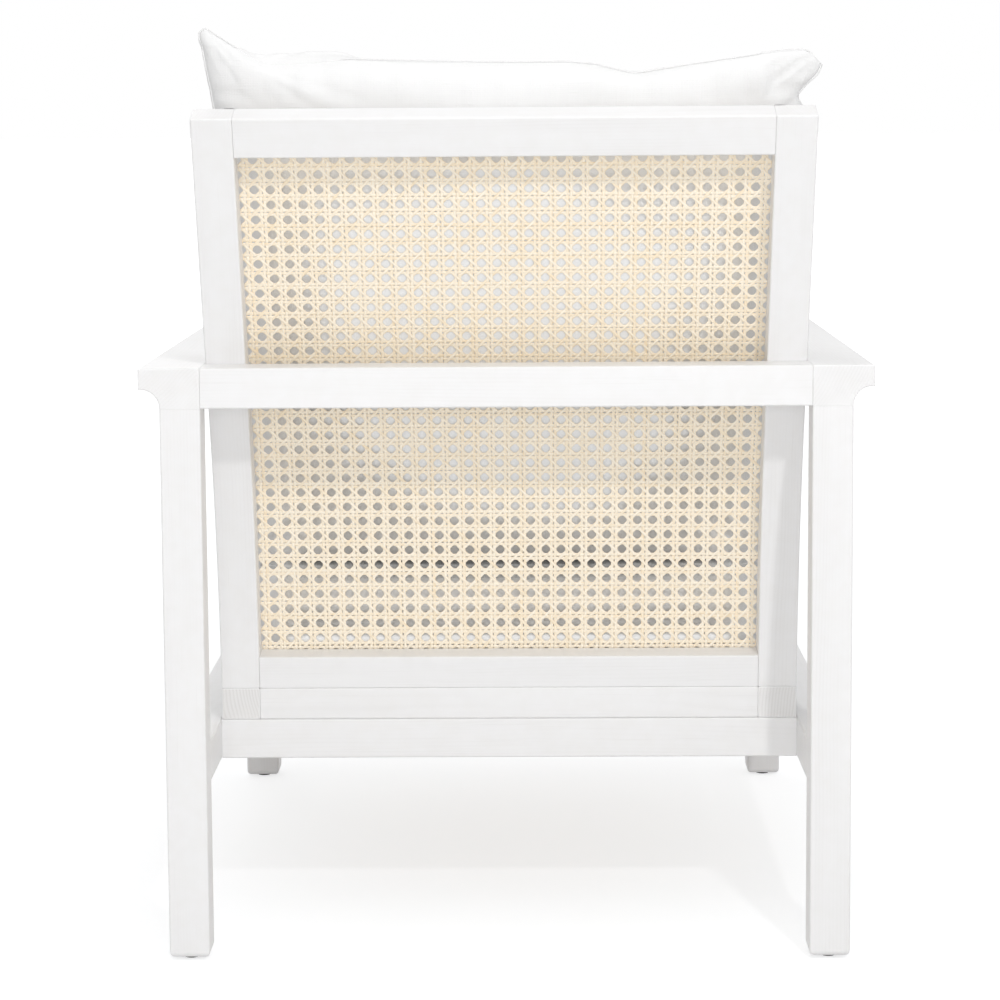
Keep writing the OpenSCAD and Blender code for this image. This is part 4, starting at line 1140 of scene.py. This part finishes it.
class CHAIR_OT_seat_cushion(bpy.types.Operator):
    """Box cushion with a low crown, drawn-in sides, and a seam round the top and the bottom"""
    bl_idname = "chair.seat_cushion"
    bl_label = "Seat Cushion"

    def execute(self, context):
        c = sizes("cushion")
        self.low, self.high = corners_of("seat_cushion_cover")
        self.mid, self.half = (self.low + self.high) / 2, (self.high - self.low) / 2
        mid, half = self.mid, self.half
        crown = 15 * MM
        edge = self.high[2] - self.low[2] - crown
        self.seam = [self.low[2] + 8 * MM, self.low[2] + edge]
        obj = self.remeshed(self.form(edge / MM), "seat_cushion_linen", 6 * MM)
        rest = read_points(obj, np.float32)
        out = np.maximum(np.abs(rest[:, 0] - mid[0]) / half[0], np.abs(rest[:, 1] - mid[1]) / half[1])
        by_seam = (out > 0.95) & (np.abs(rest[:, 2] - self.seam[1]) < 3.5 * MM)
        pinned = (rest[:, 2] < self.low[2] + 2 * MM) | by_seam
        points = plump(obj, pinned, c.seat_swell, c.pressure)
        set_points(obj, points)
        normal = point_normals(obj)
        self.fold(points, normal)
        self.lean_back(points)
        set_points(obj, points)
        side = np.abs(normal)
        upright = np.where(side[:, :1] > side[:, 1:2], points[:, 1:], points[:, ::2])
        flat_map = np.where(side[:, 2:] >= side[:, :2].max(1, keepdims=True), points[:, :2], upright)
        dress(obj, flat_map, "seat_cushion", "seat_cushion_cover", "seat_cushion_foam")
        for place, z in zip(("lower", "upper"), self.seam):
            sewn_seam(f"seat_seam_{place}", self.seam_path(points, z), "seat_cushion")
        return {"FINISHED"}

    def form(self, edge, n=96, corner=0.24):
        """The cushion before it is filled, in rings of n points: rounded squares, whose sides draw in between
        the corners. edge is the height of the upper seam in millimetres."""
        a = 2 * np.pi * (np.arange(n) + 0.5) / n
        u, v = (np.sign(w) * np.abs(w) ** corner for w in (np.cos(a), np.sin(a)))
        full, draw = 3 * MM, 5 * MM
        # Share of the outline, then inset from the fullest line and height in millimetres
        rows = np.array([
            (0.02, 8, 0), (0.4, 8, 0), (0.8, 8, 0), (0.94, 8, 0.6), (0.99, 7, 3), (1, 5, 8), (1, 2, 18),
            (1, 1, edge / 2), (1, 2, edge - 14), (1, 5, edge - 3), (0.985, 7, edge + 1), (0.94, 7, edge + 6),
            (0.8, 7, edge + 11), (0.5, 7, edge + 13.2), (0.2, 7, edge + 14.2), (0.02, 7, edge + 14.5)])
        inset = rows[:, 1, None] * MM + full
        x = u[None] * (self.half[0] - inset - draw * (1 - v[None] ** 2)) * rows[:, :1]
        y = v[None] * (self.half[1] - inset - draw * (1 - u[None] ** 2)) * rows[:, :1]
        z = np.broadcast_to(rows[:, 2:] * MM, x.shape)
        points = (np.stack([x, y, z], -1) + [self.mid[0], self.mid[1], self.low[2]]).reshape(-1, 3)
        return new_piece("seat_form", points, outward(points, capped_faces(len(rows), n)))

    def fold(self, points, normal):
        """Puckers that fade away from the seams, and slow dents in the crown."""
        z, (low_seam, high_seam) = points[:, 2], self.seam
        pucker_high, dent_high = 0.7 * MM, 1.4 * MM
        flat = points[:, :2] - self.mid[:2]
        top = np.clip((z - high_seam) / (self.high[2] - high_seam), 0, 1)
        near = np.exp(-np.abs(z - high_seam) / (14 * MM)) + 0.6 * np.exp(-np.abs(z - low_seam) / (12 * MM))
        around = np.arctan2(flat[:, 1] / self.half[1], flat[:, 0] / self.half[0])[:, None] * self.half[0]
        pucker = ripples(np.concatenate([around, points[:, 2:] * 0.3], 1), 5, 14, 0.016, 0.05)
        dents = ripples(flat, 7, 10, 0.14, 0.4)
        points += normal * (near * pucker * pucker_high + dents * top * dent_high)[:, None]

    def lean_back(self, points):
        """Shapes the rear face: flush with the zip, and elsewhere pressed towards the cane in the window of
        the back, fully along the hem under the zip and mostly above it."""
        b = sizes("back")
        x, y, z = points.T
        at_rear = y > self.mid[1] + self.half[1] * 0.9
        zip_low, zip_high = corners_of("seat_cushion_zip")
        zip_mid = (zip_low[2] + zip_high[2]) / 2
        by_zip = np.minimum(np.clip(1.25 - np.abs(x) / (zip_high[0] + 6 * MM), 0, 0.25) / 0.25,
                            np.clip(1.6 - np.abs(z - zip_mid) / (9 * MM), 0, 0.6) / 0.6)
        flush = zip_low[1] + 0.4 * MM
        y[at_rear] += (by_zip * np.minimum(flush - y, 0))[at_rear]
        # The lower edge of the window, the face just inside the cane, and how far each point is in the window
        sill = back_place(b.bottom_rail, 0, b.thick)[2]
        into = 0.6 * MM + np.clip((z - sill) / (8 * MM), 0, 1) * (b.rebate_deep - 3 * MM)
        middle = bend_frame()[0]
        panel = middle[0] - np.sqrt((b.bend + b.thick - into) ** 2 - (z - middle[1]) ** 2)
        beside = np.clip((corners_of("back_top_rail")[1][0] - 4 * MM - np.abs(x)) / (25 * MM), 0, 1)
        beside *= np.clip((z - sill) / (8 * MM) + 1, 0, 1)
        hem = np.clip((zip_low[2] + 3 * MM - z) / (5 * MM), 0, 1)
        lean = 0.78 * (1 - by_zip) * np.clip((self.seam[1] + 4 * MM - z) / (12 * MM), 0, 1)
        band = beside * np.maximum(hem, lean)
        y[at_rear] += (band * (panel - y))[at_rear]
        x[:] = np.clip(x, -self.half[0] - 3 * MM, self.half[0] + 3 * MM)
        z[:] = np.clip(z, self.low[2], self.high[2] + 2 * MM)
        y[:] = np.where(band > 0, y, np.minimum(y, self.high[1] + 2.5 * MM))

    def remeshed(self, form, name, voxel):
        """A new object with an even mesh of small faces in the place of a coarse form, which is deleted."""
        even = form.modifiers.new("Even Mesh", "REMESH")
        even.mode = "VOXEL"
        even.voxel_size = voxel
        even.use_smooth_shade = True
        shaped = form.evaluated_get(bpy.context.evaluated_depsgraph_get())
        obj = linked(name, bpy.data.meshes.new_from_object(shaped))
        bpy.data.objects.remove(form)
        return obj

    def seam_path(self, points, height, turns=220):
        """The line round the cushion at a height: for each direction, the furthest point near that height."""
        near = points[np.abs(points[:, 2] - height) < 5 * MM]
        flat = near[:, :2] - self.mid[:2]
        slot = ((np.arctan2(flat[:, 1], flat[:, 0]) + np.pi) / (2 * np.pi) * turns).astype(int) % turns
        far = np.zeros(turns)
        np.maximum.at(far, slot, np.hypot(*flat.T))
        kernel = np.array([1, 2, 3, 2, 1]) / 9
        far = np.convolve(np.concatenate([far[-2:], far, far[:2]]), kernel, "valid")
        q = (np.arange(turns) + 0.5) / turns * 2 * np.pi - np.pi
        return np.stack([self.mid[0] + far * np.cos(q), self.mid[1] + far * np.sin(q),
                         np.full(turns, height)], -1)


class CHAIR_OT_back_pillow(bpy.types.Operator):
    """Loose pillow: two sheets sewn round the edge, filled until they swell, and pressed flat on the back"""
    bl_idname = "chair.back_pillow"
    bl_label = "Back Pillow"

    def execute(self, context):
        c, b = sizes("cushion"), sizes("back")
        cols, rows = 112, 96
        seam_t = b.thick + 65.6 * MM
        contact = b.thick + 0.1 * MM
        self.low, self.high = 0.102, 0.6545
        # Places from -1 to 1 over the pillow's width and height, closer together near its edges
        a, v = (np.sin(np.pi / 2 * w) * 0.55 + w * 0.45 for w in
                (np.linspace(-1, 1, cols + 1), np.linspace(-1, 1, rows + 1)))
        a, v = np.meshgrid(a, v, indexing="ij")
        x, s = self.outline(a, v)
        dome = np.maximum((1 - a * a) * (1 - v * v), 0)
        rear = seam_t - (seam_t - contact - 6 * MM) * dome ** 0.42
        front = seam_t + 74 * MM * dome ** 0.46
        lip = 18 * MM * np.exp(-((a - 0.66) / 0.2) ** 4 - ((v - 0.93) / 0.05) ** 2)
        rear, front = np.stack([x, s, rear], -1), np.stack([x, s + lip, front], -1)
        number = np.arange(a.size).reshape(a.shape)
        front_number = number.copy()
        front_number[1:-1, 1:-1] = a.size + np.arange((cols - 1) * (rows - 1)).reshape(cols - 1, rows - 1)
        points = np.concatenate([rear.reshape(-1, 3), front[1:-1, 1:-1].reshape(-1, 3)])
        faces = []
        for k, way in ((number, 1), (front_number, -1)):
            quads = np.stack([k[:-1, :-1], k[1:, :-1], k[1:, 1:], k[:-1, 1:]], -1).reshape(-1, 4)
            faces.append(quads[:, ::way])
        obj = new_piece("back_pillow_linen", points, outward(points, faces), sharp=math.radians(89))
        loop = np.concatenate([number[:-1, 0], number[-1, :-1], number[:0:-1, -1], number[0, :0:-1]])
        pinned = np.zeros(len(points), bool)
        pinned[loop] = True
        points = plump(obj, pinned, c.swell, c.pressure)
        set_points(obj, points)
        where = np.empty((2, len(points)))
        for k in (number, front_number):
            where[:, k] = a, v
        points = self.settle(points, point_normals(obj), where, contact)
        set_points(obj, back_place(points[:, 1], points[:, 0], points[:, 2]))
        if self.inside_out(obj):
            obj.data.flip_normals()
        self.rest_on_seat(obj)
        dress(obj, points[:, :2], "back_pillow", "back_pillow_cover", "back_pillow_filling")
        path = read_points(obj, np.float32)[loop].astype(float)
        sewn_seam("back_pillow_seam", path, "back_pillow")
        return {"FINISHED"}

    def outline(self, a, v):
        """The pillow laid flat: its sides draw in between the corners, its upper part is a little wider, one
        corner stands up and the other folds out, and between them the upper edge slumps."""
        draw, low_draw = 12 * MM, 2 * MM
        half_low, spread = 0.2875, 12.5 * MM
        up = np.clip(v, 0, 1)
        ease = up * up * (3 - 2 * up)
        x = a * (half_low + spread * ease - draw * (1 - v * v))
        stiff = np.interp(v, [-1, 0, 0.8, 1], [0, -3, -7, -4.5]) * np.clip(a, 0, 1) ** 4
        folded = np.interp(v, [0, 0.74, 0.79, 0.84, 0.89, 0.94, 0.98, 1],
                           [0, 0, -1, -10, -2, 7.5, 9.5, 4]) * np.clip(-a, 0, 1) ** 6
        x = x + (stiff - folded) * MM
        # Places along the upper edge, and how far it stands above or below its height there
        knots = [-1, -0.98, -0.96, -0.86, -0.8, -0.62, -0.42, -0.3, -0.2, 0, 0.3, 0.5, 0.66, 0.78, 0.86, 0.94,
                 0.98, 1]
        rise = [-20, -11, -7.5, -9, -14, -22, -32, -22, -19, -19, -17, -15, -20, -21, -6, 11, 18, 12]
        top = np.interp(a, knots, rise) * MM
        mid, half = (self.low + self.high) / 2, (self.high - self.low) / 2
        s = mid + v * half + np.where(v > 0, up ** 3 * top, -v * low_draw * (1 - a * a))
        return x, s

    def settle(self, points, normal, where, contact):
        """Soft folds: puckers that fade away from the seam, creases in the corners, slow dents, and a flat
        where the pillow meets the back. where holds each point's place between the seams, from -1 to 1."""
        half_wide, half_tall = 0.29, 0.26
        pucker_high, crease_high, dent_high = 1.3 * MM, 2.2 * MM, 2.6 * MM
        side, ends = (1 - np.abs(where)) * [[half_wide], [half_tall]]
        near = sum(np.exp(-d / 0.035) * np.tanh(d / 0.006) for d in (side, ends))
        across = np.where(side < ends, points[:, 1], points[:, 0])[:, None]
        inward = np.minimum(side, ends)[:, None] * 0.25
        pucker = ripples(np.concatenate([across, inward], 1), 21, 16, 0.014, 0.05)
        corner = np.exp(-np.hypot(side, ends) / 0.09)
        slanting = np.stack([points[:, 0] - points[:, 1], points[:, 0] + points[:, 1]], -1) * [1.0, 0.15]
        creases = ripples(slanting, 33, 10, 0.03, 0.09)
        dents = ripples(points[:, :2], 44, 12, 0.12, 0.34)
        free = np.tanh(np.minimum(side, ends) / 0.03)
        height = near * pucker * pucker_high + (corner * creases * crease_high + dents * dent_high) * free
        points = points + normal * height[:, None]
        b = sizes("back")
        x, s, t = points.T
        window = corners_of("back_top_rail")[1][0] + MM
        inside = np.minimum(window - np.abs(x), np.minimum(s - b.bottom_rail, back_length() - b.top_rail - s))
        pressed = np.clip(inside / (30 * MM), 0, 1) * np.clip((contact + 60 * MM - t) / (40 * MM), 0, 1)
        # Behind the wall the cloth lies flat. In the window the wall stands further back and more lies flat.
        wall = contact - pressed * (b.rebate_deep - 2.2 * MM)
        soft = (4 - 3 * pressed) * MM
        behind = t - wall - 14 * MM * pressed
        behind = np.where(behind > 0, behind * (1 - 0.55 * pressed), behind)
        points[:, 2] = wall + soft * np.logaddexp(0, behind / soft)
        return points

    def inside_out(self, obj):
        """Whether the faces point inwards."""
        points = read_points(obj)
        return ((points - points.mean(0)) * point_normals(obj)).sum() < 0

    def rest_on_seat(self, obj):
        """Lifts what would sink into the seat cushion, whose crown is read as a height over a grid."""
        top = read_points(bpy.data.objects["seat_cushion_linen"])
        cell, gap, soft = 12 * MM, 1 * MM, 2 * MM
        low = top[:, :2].min(0)
        shape = ((top[:, :2].max(0) - low) / cell).astype(int) + 1
        height = np.zeros(shape)
        index = ((top[:, :2] - low) / cell).astype(int)
        np.maximum.at(height, tuple(index.T), top[:, 2])
        points = read_points(obj)
        k = ((points[:, :2] - low) / cell).astype(int)
        over = ((k >= 0) & (k < shape)).all(1)
        k = np.clip(k, 0, shape - 1)
        under = np.where(over, height[tuple(k.T)], 0) + gap
        points[:, 2] = under + soft * np.logaddexp(0, (points[:, 2] - under) / soft)
        set_points(obj, points)


class CHAIR_OT_zips(bpy.types.Operator):
    """Zips in the rear of the seat cushion and along the pillow's lower seam: a tape with a coil along it"""
    bl_idname = "chair.zips"
    bl_label = "Zips"

    def execute(self, context):
        low, high = corners_of("seat_cushion_zip")
        mid, half = (low[2] + high[2]) / 2, (high[2] - low[2]) / 2
        self.tape("seat_zip_tape", (low[0], high[0]), half, high[1] - low[1], "seat_cushion",
                  "seat_cushion_zip", lambda a, v, h: np.stack([a, low[1] + h, mid + v], -1))
        seam = read_points(bpy.data.objects["back_pillow_seam"]).reshape(-1, 8, 3).mean(1)
        line = seam[seam[:, 2] < np.sort(seam[:, 2])[len(seam) // 4]]
        line = line[np.argsort(line[:, 0])]
        lean = math.cos(math.radians(12))

        def place(a, v, h):
            y = np.interp(a, line[:, 0], line[:, 1]) + v * lean
            z = np.interp(a, line[:, 0], line[:, 2]) - 1.2 * MM - h * 0.4
            return np.stack([a, y, z], -1)
        low, high = corners_of("back_pillow_zip")
        self.tape("pillow_zip_tape", (low[0], high[0]), 3.5 * MM, 1.5 * MM, "back_pillow",
                  "back_pillow_zip", place)
        return {"FINISHED"}

    def tape(self, name, ends, half, thick, body, node, place):
        """A tape whose middle swells into a coil: the height across it is a bell of the coil's width, toothed
        along the zip by a sine of the teeth's pitch."""
        coil, tooth = 1.1 * MM, 1.6 * MM
        a, v = np.meshgrid(np.linspace(*ends, 1051), np.linspace(-half, half, 9), indexing="ij")
        bell = np.exp(-(v / coil) ** 2)
        top = thick * (0.45 + 0.45 * bell * (0.8 + 0.2 * np.sin(a * 2 * np.pi / tooth)))
        points = np.concatenate([place(a, v, h).reshape(-1, 3) for h in (top, 0 * v)])
        obj = new_piece(name, points, outward(points, slab_faces(*a.shape)))
        map_cloth(obj, np.tile(np.stack([a, v], -1).reshape(-1, 2), (2, 1)))
        finish_piece(obj, zip_cloth(), "zip_tape", body, node)


# Stage

def stand(obj, right, up, back, place):
    """Sets the axes of a camera or lamp, which looks away from back, and its place."""
    turn = Matrix(np.stack([right, up, back], 1).tolist()).to_4x4()
    turn.translation = place
    obj.matrix_world = turn


class CHAIR_OT_stage(bpy.types.Operator):
    """Pale floor, an even sky, a key lamp at the upper right of the camera, and three softer lamps"""
    bl_idname = "chair.stage"
    bl_label = "Stage"

    def execute(self, context):
        st = sizes("stage")
        self.camera(context, st)
        self.floor()
        self.sky(context, st)
        self.lamp("key_lamp", (-0.83, 2.6, 2.36), st.key, 0.14)
        self.lamp("fill_lamp", (0.1, 3.2, 0.88), st.fill, 1.0)
        self.lamp("top_lamp", (0.2, 0.6, 3.4), st.top, 2.4)
        self.lamp("front_lamp", (0.8, -3.0, 2.2), st.front, 2.6)
        context.scene.view_settings.view_transform = "Standard"
        return {"FINISHED"}

    def camera(self, context, st):
        """The camera at the photograph's angle, looking at the rear of the chair."""
        data = bpy.data.cameras.new("camera")
        data.lens = st.lens
        data.sensor_width = 36
        data.shift_x, data.shift_y = st.shift
        camera = linked("camera", data)
        ahead = np.array([math.sin(st.yaw) * math.cos(st.pitch), -math.cos(st.yaw) * math.cos(st.pitch),
                          -math.sin(st.pitch)])
        level = np.array([-math.cos(st.yaw), -math.sin(st.yaw), 0])
        upward = np.cross(level, ahead)
        right = level * math.cos(st.roll) + upward * math.sin(st.roll)
        up = upward * math.cos(st.roll) - level * math.sin(st.roll)
        stand(camera, right, up, -ahead, st.place)
        context.scene.camera = camera

    def floor(self):
        """A wide round floor. The camera sees it darker and glowing, so only shadows fall below white."""
        r = np.array([0.01, 0.5, 1, 2, 4, 8, 16, 40, 120])
        turns = 64
        faces = [ring_faces(len(r), turns), np.arange(turns)[None]]
        obj = new_piece("floor", round_axis(r, 0 * r, turns), faces)
        material, n, principled = base_material("studio_floor")
        place = n.add("TexCoord").outputs["Object"]
        speck = n.noise(place, 3.0, 3.0)
        seen = n.seen()
        base = n.blend(n.math("MULTIPLY", speck, 0.04), rgba(sizes("finish").floor), (0.7, 0.7, 0.7, 1))
        base = n.blend(seen, base, (0.44, 0.45, 0.46, 1))
        set_surface(n, principled, base, 0.9, speck, 0.2 * MM, 0.1)
        principled.inputs["Specular IOR Level"].default_value = 0.0
        flat = n.add("SeparateXYZ", {0: place}).outputs
        away = n.hypot(flat["X"], flat["Y"])
        bright = n.math("MULTIPLY_ADD", n.ramp(away, 1.6, 5.0), 0.31, 0.69)
        glow = n.add("Emission", {"Color": (1, 1, 1, 1), "Strength": n.math("MULTIPLY", seen, bright)})
        both = n.add("AddShader", {0: principled.outputs[0], 1: glow.outputs[0]})
        n.tree.links.new(both.outputs[0], n.tree.nodes["Material Output"].inputs["Surface"])
        obj.data.materials.append(material)

    def sky(self, context, st):
        """White for the camera and in reflections, and an even pale light for the chair."""
        world = bpy.data.worlds.new("sky")
        context.scene.world = world
        world.use_nodes = True
        n = Shader(world.node_tree)
        ground = world.node_tree.nodes["Background"]
        ground.inputs["Color"].default_value = (1, 1, 1, 1)
        strength = n.math("ADD", st.sky, n.math("MULTIPLY", n.seen(), 1.0 - st.sky))
        n.tree.links.new(strength, ground.inputs["Strength"])

    def lamp(self, name, place, power, size):
        """A square lamp that faces the middle of the chair."""
        data = bpy.data.lights.new(name, "AREA")
        data.energy = power
        data.size = size
        back = np.array(place) - [0, 0, 0.45]
        back /= np.linalg.norm(back)
        right = np.cross([0, 0, 1], back)
        right /= np.linalg.norm(right)
        stand(linked(name, data), right, np.cross(back, right), back, place)


class CHAIR_PT_panel(bpy.types.Panel):
    """Lists the pieces of the chair and their sizes"""
    bl_idname = "CHAIR_PT_panel"
    bl_label = "Caned Armchair"
    bl_space_type = "VIEW_3D"
    bl_region_type = "UI"
    bl_category = "Chair"

    def draw(self, context):
        for operator in OPERATORS:
            self.layout.operator(operator.bl_idname)
        for group in GROUPS:
            box = self.layout.box()
            box.label(text=group.capitalize())
            values = getattr(context.scene, "chair_" + group)
            for key in values.bl_rna.properties.keys():
                if key not in ("rna_type", "name"):
                    box.prop(values, key)


GROUPS = {"wood": ChairWoodSizes, "back": ChairBackSizes, "cane": ChairCaneSizes,
          "cushion": ChairCushionSizes, "finish": ChairFinishes, "stage": ChairStageSizes}
OPERATORS = (CHAIR_OT_stage, CHAIR_OT_side_frames, CHAIR_OT_cross_rails, CHAIR_OT_seat_frame,
             CHAIR_OT_back_frame, CHAIR_OT_cane_panel, CHAIR_OT_glides, CHAIR_OT_fasteners,
             CHAIR_OT_seat_cushion, CHAIR_OT_back_pillow, CHAIR_OT_zips)


def register():
    """Registers the classes and hangs the sizes on the scene."""
    for cls in (*GROUPS.values(), *OPERATORS, CHAIR_PT_panel):
        bpy.utils.register_class(cls)
    for group, cls in GROUPS.items():
        setattr(bpy.types.Scene, "chair_" + group, PointerProperty(type=cls))


def unregister():
    """Takes the sizes off the scene and unregisters the classes."""
    for group in GROUPS:
        delattr(bpy.types.Scene, "chair_" + group)
    for cls in reversed((*GROUPS.values(), *OPERATORS, CHAIR_PT_panel)):
        bpy.utils.unregister_class(cls)


def main():
    """Draws the chair, piece by piece, and writes how large it came out."""
    register()
    for operator in OPERATORS:
        area, name = operator.bl_idname.split(".")
        getattr(getattr(bpy.ops, area), name)()


if __name__ == "__main__":
    main()
